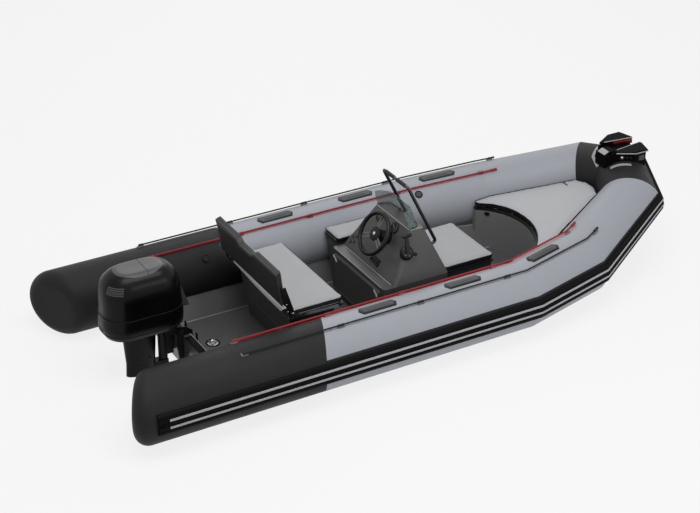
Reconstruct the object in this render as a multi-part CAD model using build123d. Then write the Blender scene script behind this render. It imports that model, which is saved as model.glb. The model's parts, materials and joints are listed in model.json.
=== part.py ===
from build123d import *
import math
import os

# Rigid inflatable boat with a side console and an outboard motor, millimetres.
# +X is forward, +Y is port, +Z is up. The origin is on the waterline and on the
# centre plane, amidships.

# ---- tubes ---------------------------------------------------------------
TUBE_R = 254.0            # radius of the side tubes
BOW_R = 232.0             # radius of the bow section
TUBE_Z = 260.0            # height of the tube axis at the stern
HALF_Y = 802.0            # tube axis to the centre plane
# axis of the port tube: x, y, rise above TUBE_Z
AXIS = [(-2400.0, HALF_Y, 0.0),      # stern end
        (736.0, HALF_Y, 9.0),        # first kink
        (1375.0, 684.0, 57.0),       # second kink
        (2125.0, 321.0, 237.0),      # seam of the bow section
        (2257.0, 0.0, 293.0)]        # stem
CAP_ANGLE = 29.4          # the stern discs face inboard by this much
CAP_FILLET = 95.0
SEAM_X = -950.0           # seam between the stern and the main tube section
SEAM_ANGLE = 22.0
SEAT_GAP = 0.3            # hull saddle to tube

# ---- rubbing strake ------------------------------------------------------
STRAKE_T = 24.0
STRAKE_TOP = 70.0         # degrees from the top of the tube, outboard
STRAKE_TOP_BOW = 61.0
STRAKE_SPAN = 36.0
STRAKE_SLANT = 3.0
STRAKE_X = -2335.0        # stern end of the strake

# ---- hull ----------------------------------------------------------------
TRANSOM_X = -1710.0       # outer face of the transom
TRANSOM_T = 50.0
TRANSOM_TOP = 275.0
KEEL_Z = -240.0
FLOOR_Z = 10.0
FLOOR_HALF = 450.0        # half width of the cockpit floor
LEDGE_Z = 170.0           # top of the liner's side
LEDGE_HALF = 585.0
LINER_T = 8.0
KNEE_Z = 275.0            # top of the knees between transom and tubes
FLOOR_BEND = 640.0        # the floor narrows forward of here
FLOOR_FRONT = 1330.0      # forward end of the cockpit
FRONT_FLOOR = 300.0       # half width of the floor at its forward end
FRONT_LEDGE = 425.0
# x, keel z, chine y, chine z, flange y, flange z, top y, top z
STATIONS = [(TRANSOM_X, KEEL_Z, 560.0, -50.0, 700.0, 30.0, 700.0, LEDGE_Z),
            (200.0, KEEL_Z, 560.0, -45.0, 700.0, 34.0, 700.0, LEDGE_Z),
            (800.0, KEEL_Z, 540.0, -20.0, 690.0, 50.0, 690.0, LEDGE_Z + 5),
            (1400.0, -190.0, 420.0, 60.0, 570.0, 120.0, 570.0, 250.0),
            (1850.0, -20.0, 240.0, 200.0, 370.0, 260.0, 370.0, 360.0),
            (2170.0, 265.0, 60.0, 345.0, 110.0, 375.0, 110.0, 440.0)]

TRANSOM_HALF = 560.0
KNEE_X = (-1664.0, -1370.0, -1430.0)   # aft, forward at the foot, forward at the top
KNEE_FOOT = 100.0
KNEE_Y = (535.0, 582.0)

# ---- fittings on the tubes -------------------------------------------------
ROOT = 4.0                # depth under the skin before trimming
HANDLE_X = (-496.0, 227.0, 990.0)
HANDLE_ANGLE = -2.0
HANDLE_HALF = (160.0, 140.0)   # half length at the outboard and the inboard edge
HANDLE_WIDE = 38.0        # half width
HANDLE_T = 15.0
HANDLE_TAPER = 8.0
# x, degrees from the top of the tube
VALVES = [(-1188.0, -50.7),
          (778.0, -37.3)]
VALVE_R = 32.0
VALVE_T = 12.0
ROPE_LIFT = 12.0          # underside of a rope to the tube
PATCH_W = 26.0            # patch width, half its length
PATCH_T = 12.2
# name, degrees from the top, radius, stations of the rope, stations of its patches
ROPES = [("inner_grab_rope", -24.0, 6.0, (-1600, 736, 1375, 1412), (-1592, -850, -240, 560, 1392)),
         ("outer_lifeline", 18.0, 5.0, (-1610, 736, 1375, 1500), (-1602, -848, -190, 560, 1480))]

# ---- bench ---------------------------------------------------------------
SEAT_TOP = 480.0
SEAT_X = (-1030.0, -590.0)
SEAT_HALF = 490.0
CUSHION_T = 50.0
LID_T = 18.0
SOFT = 0.4                # gap round a soft piece
GAP = 7.0                 # gap round a moving lid
LID_SEAT = 0.5            # closed lid to its rim
POD_TOP_HALF = 400.0
POD_FOOT_HALF = 340.0
SHELL_T = 6.0             # moulded wall
BACK_PIVOT = (-1032.0, 470.0)
BACK_SETBACK = 24.0       # pivot to the front face of the backrest
POD_FOOT_IN = (70.0, 90.0)     # pod's foot inside the seat's aft and forward edges
POD_TOP_IN = 25.0
LID_IN = 6.0
RAIL_T = 6.0
ARM_T = 9.0
ARM_GAP = 3.0
PIN_R = 7.0
BACK_Z = 520.0            # bottom edge of the backrest
BACK_H = 325.0
BACK_T = 52.0
BACK_TILT = 9.0

# ---- console -------------------------------------------------------------
CON_Y = -60.0             # console centre plane
CON_HALF = 390.0
CON_X = (-240.0, 330.0)
CON_BASE_Z = 405.0
CON_TURN = 30.0           # rounding of the console's upright edges
LEDGE_D = 90.0            # ledge between the aft face and the dash
DASH_Z = 765.0
DASH_HALF = 250.0
DASH_X0 = 60.0
DASH_X1 = 185.0
SCREEN_H = 135.0
SCREEN_TURN = 45.0
RAIL_Y = -100.0
RAIL_HALF = 178.0
RAIL_R = 13.0
RAIL_BEND = 20.0
RAIL_FOOT = (240.0, 588.0)     # x, z inside the tower's front face
RAIL_KNEE = (318.0, 588.0)
RAIL_CROWN = (60.0, 1105.0)
THROTTLE = (0.0, 620.0)
BOX_Y = (CON_Y + CON_HALF + SOFT, 565.0)    # port side box
BOX_X = (-190.0, 330.0)
BOX_TOP = 450.0
BOX_PAD_T = 40.0
BOX_LID_T = 12.0
FRONT_PAD_T = 45.0
FRONT_LID_T = 15.0
FRONT_X = 810.0           # front of the console seat
FRONT_HALF = 312.0
FRONT_TOP = 400.0
DOOR_Z = (70.0, 375.0)
DOOR_Y = (-400.0, 290.0)
WHEEL_C = (-135.0, -120.0, 706.0)
WHEEL_R = 186.0
WHEEL_TILT = 30.0
RIM_R = 14.0
SPOKES = (90.0, 210.0, 330.0)
GAUGE_R = 42.0
GAUGE_Y = (-25.0, 190.0)  # from the wheel's centre
GAUGE_DROP = 46.0         # centre under the dash top
BOSS_REACH = 160.0
DOOR_T = 15.5
DOOR_LAP = 25.0           # door over the edge of its opening

# ---- bow -----------------------------------------------------------------
DECK_Z0 = 395.0           # top of the sundeck cushion at DECK_X0
DECK_X0 = 1150.0
DECK_X1 = 1972.0
DECK_SLOPE = math.degrees(math.atan(0.19))
RECESS_R = 640.0
WELL_X1 = 1700.0
WELL_HALF = 180.0
WELL_Z = 150.0
DECK_PAD_T = 50.0
DECK_BOARD_T = 16.0
BEHIND_RECESS = 20.0      # locker front aft of the cockpit's forward end
# plan outlines of the port half: x, y
LOCKER_PLAN = [(1000, 540), (1400, 520), (1850, 330), (2080, 90)]
STEP_PLAN = [(2048, 64), (2142, 116), (2258, 178), (2366, 178), (2400, 72), (2350, 2)]
LIP_PLAN = [(2118, 112), (2256, 192), (2374, 192), (2410, 66), (2352, 2)]
CHUTE_PLAN = [(1900, 82), (2139, 82), (2420, 46)]
GUIDE_PLAN = [(2225, 70.3), (2395, 48.3), (2395, 42), (2225, 64)]
STEP_Z = 847.0            # top of the bow step
STEP_FLOOR = STEP_Z - 46  # floor of the chute
STEP_BASE = STEP_Z - 160

# ---- towing eyes ---------------------------------------------------------
EYE_OUT = 30.0            # eye centre to the surface that carries it
EYE_R = 22.0
EYE_BORE = 12.0
EYE_T = 12.0
EYE_Y = 430.0
EYE_Z = 130.0

# ---- outboard ------------------------------------------------------------
TILT_X = -1722.0
TILT_Z = TRANSOM_TOP + 42.0
STEER_X = -1835.0
# z, aft x, forward x, half width, corner radius
COWL_ROWS = [(425.0, -2286.0, -1688.0, 182.0, 158.0),
             (540.0, -2289.0, -1682.0, 187.0, 166.0),
             (700.0, -2282.0, -1694.0, 182.0, 166.0),
             (790.0, -2262.0, -1716.0, 168.0, 156.0),
             (846.0, -2218.0, -1756.0, 134.0, 126.0),
             (874.0, -2136.0, -1836.0, 72.0, 66.0)]
PROP_Z = -352.0
PROP_R = 142.0
PROP_PITCH = 330.0
PROP_X = -2196.0
HUB_R = 40.0
# radius, chord, thickness
BLADE = [(26, 62, 9),
         (60, 92, 7),
         (100, 104, 5),
         (130, 78, 3.4),
         (PROP_R, 30, 2)]
PLATE_Z = -190.0          # top of the plate over the propeller
LEG_TOP = 364.0
# z, centre x, half length, half width
LEG_ROWS = [(LEG_TOP, -2010, 130, 72),
            (100, -2010, 112, 52),
            (PLATE_Z, -2030, 108, 40)]
STRUT_ROWS = [(PLATE_Z - SEAT_GAP, -2030, 108, 38),
              (PROP_Z, -2030, 100, 26)]
POD_X = -2030.0
POD_R = 47.0
# x, z of the clamp's side plates
CLAMP_LINE = [(-1745, 60), (-1710.3, 60), (-1710.3, 276), (-1659.7, 276), (-1659.7, 150),
              (-1637, 150), (-1637, 300), (-1690, TILT_Z + 26), (TILT_X, TILT_Z + 32),
              (-1752, TILT_Z + 16), (-1762, 200)]
CLAMP_Y = (-102.0, 88.0)
CLAMP_T = 14.0
PIVOT_R = 16.0            # tilt tube and steering shaft
PIVOT_GAP = 0.5
STEER_Z = 205.0
# x, z of the fin under the propeller shaft
SKEG_LINE = [(-2110, PROP_Z - 30), (-1960, PROP_Z - 30), (-2060, PROP_Z - 155),
             (-2130, PROP_Z - 155)]

OUT = {}


def keep(name, shape):
    OUT[name] = shape


def twin(shape):
    return mirror(shape, about=Plane.XZ)


def pair(name, shape):
    keep(name + "_port", shape)
    keep(name + "_starboard", twin(shape))


def box(x0, x1, y0, y1, z0, z1):
    return Pos((x0 + x1) / 2, (y0 + y1) / 2, (z0 + z1) / 2) * Box(x1 - x0, y1 - y0, z1 - z0)


def frustum(foot, foot_z, top, top_z):
    """Block between two level rectangles, each given as x0, x1, y0, y1."""
    faces = []
    for (x0, x1, y0, y1), z in ((foot, foot_z), (top, top_z)):
        spot = Pos((x0 + x1) / 2, (y0 + y1) / 2, z)
        faces.append(spot * Rectangle(x1 - x0, y1 - y0))
    return loft(faces, ruled=True)


# ---- tube frame ----------------------------------------------------------
POINTS = [Vector(x, y, TUBE_Z + rise) for x, y, rise in AXIS]
RADII = [TUBE_R, TUBE_R, TUBE_R, BOW_R, BOW_R]
TOPS = [STRAKE_TOP, STRAKE_TOP, STRAKE_TOP, STRAKE_TOP_BOW, STRAKE_TOP_BOW]


def heading(i):
    return (POINTS[i + 1] - POINTS[i]).normalized()


def across(point, direction):
    """Plane square to the tube: local x outboard, local y up."""
    side = Vector(0, 0, 1).cross(direction)
    return Plane(origin=point, x_dir=side, z_dir=direction)


def mitre(i):
    """Plane that halves the kink at point i."""
    if i == len(POINTS) - 1:
        return Plane(origin=POINTS[i], z_dir=(0, -1, 0))
    return Plane(origin=POINTS[i], z_dir=heading(i - 1) + heading(i))


def bevel(x, angle):
    """Upright plane across the straight tube, turned to face inboard and aft."""
    turn = math.radians(angle)
    return Plane(origin=(x, HALF_Y, TUBE_Z), z_dir=(math.cos(turn), math.sin(turn), 0))


def blend_at(values, i, t):
    return values[i] + (values[i + 1] - values[i]) * t


def overrun(i):
    """Length of segment i, and how far its body runs past each end before trimming."""
    return (POINTS[i + 1] - POINTS[i]).length, 1.4 * TUBE_R


def stretch(i, body, start, end):
    """Body of segment i trimmed at two planes."""
    solid = split(body(i), bisect_by=start, keep=Keep.TOP)
    return split(solid, bisect_by=end, keep=Keep.BOTTOM)


def end_face(solid, plane):
    """Face that a cut at the plane left on the solid."""
    return min(solid.faces(), key=lambda f: abs((f.center() - plane.origin).dot(plane.z_dir)))


def segment(i, body, start, end):
    """Body of segment i between two planes; a tapering one spans its neighbours' ends."""
    if RADII[i] == RADII[i + 1]:
        return stretch(i, body, start, end)
    near = stretch(i - 1, body, mitre(i - 1), mitre(i))
    far = stretch(i + 1, body, mitre(i + 1), mitre(i + 2))
    return loft([end_face(near, mitre(i)), end_face(far, mitre(i + 1))], ruled=True)


def disc(extra=0.0):
    """Round body of a segment."""
    def body(i):
        length, over = overrun(i)
        base = across(POINTS[i] - heading(i) * over, heading(i))
        seat = (Align.CENTER, Align.CENTER, Align.MIN)
        return base * Cylinder(RADII[i] + extra, length + 2 * over, align=seat)
    return body


def ring_point(radius, angle):
    turn = math.radians(angle)
    return (radius * math.sin(turn), radius * math.cos(turn))


def band(gap, thick, span, slant):
    """Strip on the tube from the angle TOPS down, its face narrower than its root."""
    def body(i):
        length, over = overrun(i)
        inner = RADII[i] + gap
        outer = inner + thick
        a0, a1 = TOPS[i], TOPS[i] + span
        b0, b1 = a0 + slant, a1 - slant
        root = ThreePointArc(ring_point(inner, a0), ring_point(inner, (a0 + a1) / 2),
                             ring_point(inner, a1))
        face = ThreePointArc(ring_point(outer, b1), ring_point(outer, (b0 + b1) / 2),
                             ring_point(outer, b0))
        section = make_face([root, Line(root @ 1, face @ 0), face, Line(face @ 1, root @ 0)])
        base = across(POINTS[i] - heading(i) * over, heading(i))
        return extrude(base * section, length + 2 * over, dir=heading(i))
    return body


def tube_run(first, last, body, start, end):
    """Segments first..last joined at their mitres."""
    out = None
    for i in range(first, last + 1):
        a = start if i == first else mitre(i)
        b = end if i == last else mitre(i + 1)
        piece = segment(i, body, a, b)
        out = piece if out is None else out + piece
    return out


def on_tube(x, angle, lift=0.0):
    """Plane on the port tube's skin at station x: normal outward, local x along."""
    i = max(k for k in range(4) if POINTS[k].X <= x)
    a, b = POINTS[i], POINTS[i + 1]
    t = (x - a.X) / (b.X - a.X)
    along = heading(i)
    side = Vector(0, 0, 1).cross(along).normalized()
    up = along.cross(side)
    turn = math.radians(angle)
    out = side * math.sin(turn) + up * math.cos(turn)
    radius = blend_at(RADII, i, t) + lift
    return Plane(origin=a + (b - a) * t + out * radius, x_dir=along, z_dir=out)


# ---- pieces --------------------------------------------------------------
def make_tubes():
    cap = bevel(AXIS[0][0], CAP_ANGLE)
    seam = bevel(SEAM_X, SEAM_ANGLE)
    stern = stretch(0, disc(), cap, seam)
    rim = [e for e in stern.edges() if e.center().X < AXIS[0][0] + 300]
    stern = fillet(rim, CAP_FILLET)
    pair("tube_stern", stern)
    pair("tube_main", tube_run(0, 2, disc(), seam, mitre(3)))
    bow = stretch(3, disc(), mitre(3), mitre(4))
    keep("tube_bow", bow + twin(bow))
    shape = band(-ROOT, STRAKE_T + ROOT, STRAKE_SPAN, STRAKE_SLANT)
    strake = tube_run(0, 3, shape, bevel(STRAKE_X, 0), mitre(4))
    pair("strake", strake - half_tube(SEAT_GAP))


def half_tube(extra):
    """Port tube as a cutting body, larger by extra."""
    return tube_run(0, 3, disc(extra), bevel(AXIS[0][0] - 200, 0), mitre(4))


def tube_tool(extra):
    port = half_tube(extra)
    return port + twin(port)


def hull_section(x, keel, chine_y, chine_z, flange_y, flange_z, top_y, top_z):
    half = [(0, keel), (chine_y, chine_z), (flange_y, flange_z), (top_y, top_z)]
    other = [(-y, z) for y, z in reversed(half[1:])]
    ring = [(x, y, z) for y, z in half + other]
    return make_face(Polyline(*ring, close=True))


def hull_block():
    return loft([hull_section(*row) for row in STATIONS], ruled=True)


def cockpit(grow, top_z=LEDGE_Z):
    """Room inside the liner, larger all round by grow."""
    back = TRANSOM_X + TRANSOM_T - grow
    front = FLOOR_FRONT + grow
    faces = []
    for z, wide, narrow in ((FLOOR_Z - grow, FLOOR_HALF, FRONT_FLOOR),
                            (top_z, LEDGE_HALF, FRONT_LEDGE)):
        half = [(back, wide + grow), (FLOOR_BEND, wide + grow), (front, narrow + grow)]
        ring = half + [(x, -y) for x, y in reversed(half)]
        faces.append(Pos(0, 0, z) * make_face(Polyline(*ring, close=True)))
    return loft(faces, ruled=True) + extrude(faces[1], 700)


def bow_well():
    """Locker under the sundeck, sunk into the hull."""
    return box(FLOOR_FRONT + 20, WELL_X1, -WELL_HALF, WELL_HALF, WELL_Z, 900)


def make_hull(tool):
    inner_x = TRANSOM_X + TRANSOM_T
    body = hull_block() - cockpit(LINER_T + SEAT_GAP)
    half = TRANSOM_HALF
    transom = box(TRANSOM_X, inner_x - LINER_T - SEAT_GAP, -half, half, 0, TRANSOM_TOP)
    facing = box(inner_x - LINER_T - SEAT_GAP, inner_x, -half - SEAT_GAP, half + SEAT_GAP,
                 -SEAT_GAP, TRANSOM_TOP)
    keep("hull", (body + transom) - facing - tool - bow_well())
    shell = cockpit(LINER_T) & hull_block()
    back = box(inner_x - LINER_T, inner_x, -half, half, 0, TRANSOM_TOP)
    aft, foot_x, top_x = KNEE_X
    outline = [(aft, KNEE_FOOT), (foot_x, KNEE_FOOT), (top_x, KNEE_Z), (aft, KNEE_Z)]
    knee = side_plate(outline, *KNEE_Y) & cockpit(LINER_T / 2)
    liner = (shell + back - cockpit(0) - bow_well()) + knee + twin(knee)
    keep("cockpit_liner", liner - tool)


def make_tube_fittings():
    pads = []
    outer, inner = HANDLE_HALF
    w = HANDLE_WIDE
    for x in HANDLE_X:
        plane = on_tube(x, HANDLE_ANGLE, -1.0)
        foot = make_face(Polyline((-outer, -w), (outer, -w), (inner, w), (-inner, w), close=True))
        pads.append(extrude(plane * foot, HANDLE_T, taper=HANDLE_TAPER) - half_tube(SEAT_GAP))
    keep("carry_handles", Compound(pads + [twin(p) for p in pads]))
    caps = []
    for x, angle in VALVES:
        plane = on_tube(x, angle, -ROOT)
        caps.append(extrude(plane * Circle(VALVE_R), VALVE_T) - half_tube(SEAT_GAP))
    keep("inflation_valves", Compound(caps + [twin(c) for c in caps]))


def rope(angle, stops, radius, lift):
    """Taut rope over the tube through the stations, mitred at each."""
    spots = [on_tube(x, angle, lift).origin for x in stops]
    path = Polyline(*spots)
    start = Plane(origin=spots[0], z_dir=spots[1] - spots[0])
    return sweep(start * Circle(radius), path=path, transition=Transition.RIGHT)


def rope_feet(angle, stops, room):
    """Small patches that hold a rope to the tube, clear of the room it takes."""
    feet = []
    for x in stops:
        plane = on_tube(x, angle, -1.0)
        foot = extrude(plane * Rectangle(2 * PATCH_W, PATCH_W), PATCH_T)
        feet.append(foot - half_tube(SEAT_GAP) - room)
    return feet


def make_ropes():
    for name, angle, radius, stops, feet in ROPES:
        line = rope(angle, stops, radius, radius + ROPE_LIFT)
        room = rope(angle, stops, radius + SEAT_GAP, radius + ROPE_LIFT)
        pads = rope_feet(angle, feet, room)
        keep(name + "s", Compound([line, twin(line)]))
        keep(name + "_patches", Compound(pads + [twin(p) for p in pads]))


def pad(x0, x1, y0, y1, z0, z1, corner, edge):
    body = box(x0, x1, y0, y1, z0, z1)
    body = fillet(body.edges().filter_by(Axis.Z), corner)
    return fillet(body.faces().sort_by(Axis.Z)[-1].edges(), edge)


def plate(x0, x1, y0, y1, z0, z1, corner):
    body = box(x0, x1, y0, y1, z0, z1)
    return fillet(body.edges().filter_by(Axis.Z), corner)


def shrink(rect, by):
    x0, x1, y0, y1 = rect
    return (x0 + by, x1 - by, y0 + by, y1 - by)


def tub(foot, foot_z, top, top_z, wall):
    """Open-topped moulded box with sloping walls."""
    outer = frustum(foot, foot_z, top, top_z)
    inner = frustum(shrink(foot, wall), foot_z + wall, shrink(top, wall), top_z + 1)
    return outer - inner


def side_plate(outline, y0, y1):
    """Plate standing fore and aft between y0 and y1, outline given as x, z."""
    plane = Plane(origin=(0, y0, 0), x_dir=(1, 0, 0), z_dir=(0, 1, 0))
    face = make_face(Polyline(*[(x, -z) for x, z in outline], close=True))
    return extrude(plane * face, y1 - y0)


def cross_bar(x, z, radius, y0, y1):
    """Round bar along Y."""
    return Pos(x, (y0 + y1) / 2, z) * Rot(90, 0, 0) * Cylinder(radius, y1 - y0)


def make_bench():
    x0, x1 = SEAT_X
    lid_z = SEAT_TOP - CUSHION_T - SOFT - LID_T
    aft, ahead = POD_FOOT_IN
    foot = (x0 + aft, x1 - ahead, -POD_FOOT_HALF, POD_FOOT_HALF)
    top = (x0 + POD_TOP_IN, x1 - POD_TOP_IN, -POD_TOP_HALF, POD_TOP_HALF)
    keep("seat_pod", tub(foot, FLOOR_Z + SEAT_GAP, top, lid_z - LID_SEAT, 2 * SHELL_T))
    keep("seat_lid", plate(x0 + LID_IN, x1 - LID_IN, -SEAT_HALF, SEAT_HALF, lid_z,
                           lid_z + LID_T, 30))
    keep("seat_cushion", pad(x0, x1, -SEAT_HALF, SEAT_HALF, lid_z + LID_T + SOFT,
                             SEAT_TOP, 36, 12))
    # rails at both sides of the lid carry the backrest's pivots
    px, pz = BACK_PIVOT
    rail_in, rail_out = SEAT_HALF + 0.4, SEAT_HALF + 0.4 + RAIL_T
    arm_in, arm_out = rail_out + ARM_GAP, rail_out + ARM_GAP + ARM_T
    outline = [(px - 24, lid_z + 10), (x1 - 60, lid_z), (x1 - 60, lid_z + 22),
               (px + 60, lid_z + 30), (px + 22, pz + 18), (px - 22, pz + 18)]
    rail = side_plate(outline, rail_in, rail_out) + cross_bar(px, pz, PIN_R, rail_in, arm_out)
    keep("seat_rails", Compound([rail, twin(rail)]))
    slope = math.tan(math.radians(BACK_TILT))
    front_x = px - BACK_SETBACK
    top_z = BACK_Z + 0.55 * BACK_H
    outline = [(px + 17, pz - 17), (px + 17, pz + 10), (front_x - slope * (top_z - BACK_Z), top_z),
               (front_x - BACK_T * 0.8 - slope * (top_z - BACK_Z), top_z), (px - 26, pz - 17)]
    arm = side_plate(outline, arm_in, arm_out) - cross_bar(px, pz, PIN_R + 0.3, 0, 900)
    keep("backrest_arms", Compound([arm, twin(arm)]))
    half = arm_in - 0.4
    outline = [(front_x, BACK_Z), (front_x - slope * BACK_H, BACK_Z + BACK_H),
               (front_x - slope * BACK_H - BACK_T, BACK_Z + BACK_H - 22),
               (front_x - BACK_T, BACK_Z + 6)]
    body = side_plate(outline, -half, half)
    keep("backrest", fillet(body.edges(), 9))


def console_block(grow, turn=0.0):
    """Base with the dash tower on it, larger by grow, upright edges rounded by turn."""
    x0, x1 = CON_X
    y0, y1 = CON_Y - CON_HALF, CON_Y + CON_HALF
    base = box(x0 - grow, x1 + grow, y0 - grow, y1 + grow, FLOOR_Z + SEAT_GAP - grow,
               CON_BASE_Z + grow)
    foot = (x0 + LEDGE_D - grow, x1 + grow, y0 - grow, y1 + grow)
    top = (DASH_X0 - grow, DASH_X1 + grow, CON_Y - DASH_HALF - grow, CON_Y + DASH_HALF + grow)
    tower = frustum(foot, CON_BASE_Z, top, DASH_Z + grow)
    if turn:
        base = fillet(base.edges().filter_by(Axis.Z), turn)
        rising = [e for e in tower.edges() if abs((e @ 1 - e @ 0).Z) > 100]
        tower = fillet(rising, turn)
    return base + tower


def make_console():
    x0, x1 = CON_X
    shell = console_block(0, CON_TURN) - console_block(-SHELL_T, CON_TURN - SHELL_T)
    brow = shell.faces().sort_by(Axis.Z)[-1]
    shell = fillet(brow.edges(), 4)
    y0, y1 = DOOR_Y
    z0, z1 = DOOR_Z
    lap = DOOR_LAP
    shell -= box(x0 - 1, x0 + SHELL_T + 1, y0 + lap, y1 - lap, z0 + lap, z1 - lap)
    keep("console", shell)
    out = x0 - LID_SEAT - DOOR_T
    door = box(out, x0 - LID_SEAT, y0, y1, z0, z1)
    keep("console_door", fillet(door.edges().filter_by(Axis.X), DOOR_LAP - 1))
    latches = []
    for y in (y0 + 38, y1 - 38):
        latches.append(box(out - 10, out - 0.2, y - 22, y + 22, z1 - 40, z1 - 22))
    keep("door_latches", Compound(latches))
    # side box with its lid
    y0, y1 = BOX_Y
    bx0, bx1 = BOX_X
    lid_z = BOX_TOP - BOX_PAD_T - SOFT - BOX_LID_T
    foot = (bx0 + 12, bx1, y0, FLOOR_HALF - 18)
    top = (bx0 + 12, bx1, y0, y1 - 28)
    keep("side_box", tub(foot, FLOOR_Z + SEAT_GAP, top, lid_z - LID_SEAT, SHELL_T))
    pad_z = lid_z + BOX_LID_T
    keep("side_box_lid", plate(bx0 + 4, bx1 - 2, y0 + 8, y1 + 6, lid_z, pad_z, 24))
    keep("side_box_cushion", pad(bx0, bx1 - 4, y0 + 12, y1 + 16, pad_z + SOFT, BOX_TOP, 30, 12))
    # forward seat
    lid_z = FRONT_TOP - FRONT_PAD_T - SOFT - FRONT_LID_T
    foot = (x1 + SEAT_GAP, FRONT_X - 60, CON_Y - FRONT_HALF + 50, CON_Y + FRONT_HALF - 50)
    top = (x1 + SEAT_GAP, FRONT_X - 25, CON_Y - FRONT_HALF + 20, CON_Y + FRONT_HALF - 20)
    keep("console_seat_box", tub(foot, FLOOR_Z + SEAT_GAP, top, lid_z - LID_SEAT, SHELL_T))
    y0, y1 = CON_Y - FRONT_HALF, CON_Y + FRONT_HALF
    pad_z = lid_z + FRONT_LID_T
    keep("console_seat_lid", plate(x1 + 10, FRONT_X - 4, y0 + 4, y1 - 4, lid_z, pad_z, 30))
    keep("console_seat_cushion", pad(x1 + 8, FRONT_X, y0, y1, pad_z + SOFT, FRONT_TOP, 36, 12))
    make_screen()
    make_rail()
    make_controls()


def screen_face(z, shift, size, inset):
    """Outline of the screen at height z, open aft, its front corners rounded."""
    half = [(DASH_X0 + 12, DASH_HALF - 12), (DASH_X1 - 60, DASH_HALF - 22),
            (DASH_X1 - 8, DASH_HALF - 90)]
    half = [(x + shift - inset, (y - inset) * size) for x, y in half]
    half[0] = (half[0][0] - 4 * inset, half[0][1])
    face = ring_of(half)
    front = [v for v in face.vertices() if v.X > half[0][0] + 5]
    return Pos(0, CON_Y, z) * fillet(front, SCREEN_TURN - inset)


def make_screen():
    blocks = []
    for inset in (0.0, 5.0):
        low = screen_face(DASH_Z + SEAT_GAP, 0.0, 1.0, inset)
        high = screen_face(DASH_Z + SCREEN_H, -45.0, 0.9, inset)
        blocks.append(loft([low, high], ruled=True))
    keep("windscreen", blocks[0] - Pos(-0.01, 0, 0) * blocks[1])


def make_rail():
    sides = (RAIL_Y + RAIL_HALF, RAIL_Y - RAIL_HALF)
    foot, knee, crown = RAIL_FOOT, RAIL_KNEE, RAIL_CROWN
    path = FilletPolyline((foot[0], sides[0], foot[1]), (knee[0], sides[0], knee[1]),
                          (crown[0], sides[0], crown[1]), (crown[0], sides[1], crown[1]),
                          (knee[0], sides[1], knee[1]), (foot[0], sides[1], foot[1]),
                          radius=RAIL_BEND)
    start = Plane(origin=path @ 0, z_dir=path % 0)
    keep("grab_rail", sweep(start * Circle(RAIL_R), path=path) - console_block(SEAT_GAP))


def dash_plane(x, y, z, lift=0.0):
    """Frame on the sloping dash, local z square to it and facing aft."""
    slope = math.atan2(DASH_Z - CON_BASE_Z, DASH_X0 - CON_X[0] - LEDGE_D)
    normal = Vector(-math.sin(slope), 0, math.cos(slope))
    return Plane(origin=Vector(x, y, z) + normal * lift, x_dir=(0, -1, 0), z_dir=normal)


def on_dash(z):
    t = (z - CON_BASE_Z) / (DASH_Z - CON_BASE_Z)
    return CON_X[0] + LEDGE_D + t * (DASH_X0 - CON_X[0] - LEDGE_D)


def make_controls():
    dials = []
    z = DASH_Z - GAUGE_DROP
    for dy in GAUGE_Y:
        plane = dash_plane(on_dash(z), WHEEL_C[1] + dy, z, SEAT_GAP)
        dials.append(extrude(plane * Circle(GAUGE_R), 9))
    keep("gauges", Compound(dials))
    tilt = math.radians(WHEEL_TILT)
    axis = Vector(-math.cos(tilt), 0, math.sin(tilt))
    hub = Plane(origin=WHEEL_C, x_dir=(0, -1, 0), z_dir=axis)
    rim = hub * Torus(WHEEL_R - RIM_R, RIM_R)
    wheel = rim + hub * Pos(0, 0, -22) * Cylinder(38, 36)
    for turn in SPOKES:
        arm = hub * Rot(0, 0, turn) * Pos((WHEEL_R - RIM_R) / 2, 0, -8) * Box(
            WHEEL_R - RIM_R, 30, 10)
        wheel += arm
    keep("steering_wheel", wheel)
    # fixed boss from the dash to just under the hub
    boss = hub * Pos(0, 0, -40.6 - BOSS_REACH / 2) * Cone(56, 42, BOSS_REACH)
    keep("helm_boss", boss - console_block(SEAT_GAP))
    # throttle on the starboard wall of the tower
    run = DASH_HALF - CON_HALF
    lean_in = math.atan2(-run, DASH_Z - CON_BASE_Z)
    z = THROTTLE[1]
    y = CON_Y - CON_HALF - run * (z - CON_BASE_Z) / (DASH_Z - CON_BASE_Z)
    side = Plane(origin=(THROTTLE[0], y, z), x_dir=(1, 0, 0),
                 z_dir=(0, -math.cos(lean_in), math.sin(lean_in)))
    base = extrude(Plane(side.origin + side.z_dir * SEAT_GAP, x_dir=side.x_dir,
                         z_dir=side.z_dir) * Circle(48), 26)
    lever = side * Pos(8, 62, 30) * Box(22, 130, 14)
    grip = side * Pos(8, 132, 32) * Box(70, 26, 22)
    keep("throttle_control", base + lever + grip)


def deck_plane(drop):
    """Sloping plane a given depth under the top of the sundeck cushion."""
    tilt = math.radians(DECK_SLOPE)
    normal = Vector(-math.sin(tilt), 0, math.cos(tilt))
    origin = Vector(DECK_X0, 0, DECK_Z0) - normal * drop
    return Plane(origin=origin, x_dir=(math.cos(tilt), 0, math.sin(tilt)), z_dir=normal)


def deck_layer(drop, thick, front, tool):
    """Layer of the sundeck between the tubes, with the leg recess aft."""
    plan = box(DECK_X0, front, -620, 620, -200, 900)
    layer = extrude(deck_plane(drop + thick) * Rectangle(4000, 1400), thick)
    centre_x = FLOOR_FRONT - BEHIND_RECESS - RECESS_R
    recess = Pos(centre_x, 0, 300) * Cylinder(RECESS_R, 1400)
    behind = box(centre_x - 1200, centre_x, -900, 900, -400, 1000)
    return (layer & plan) - recess - behind - tool


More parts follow.
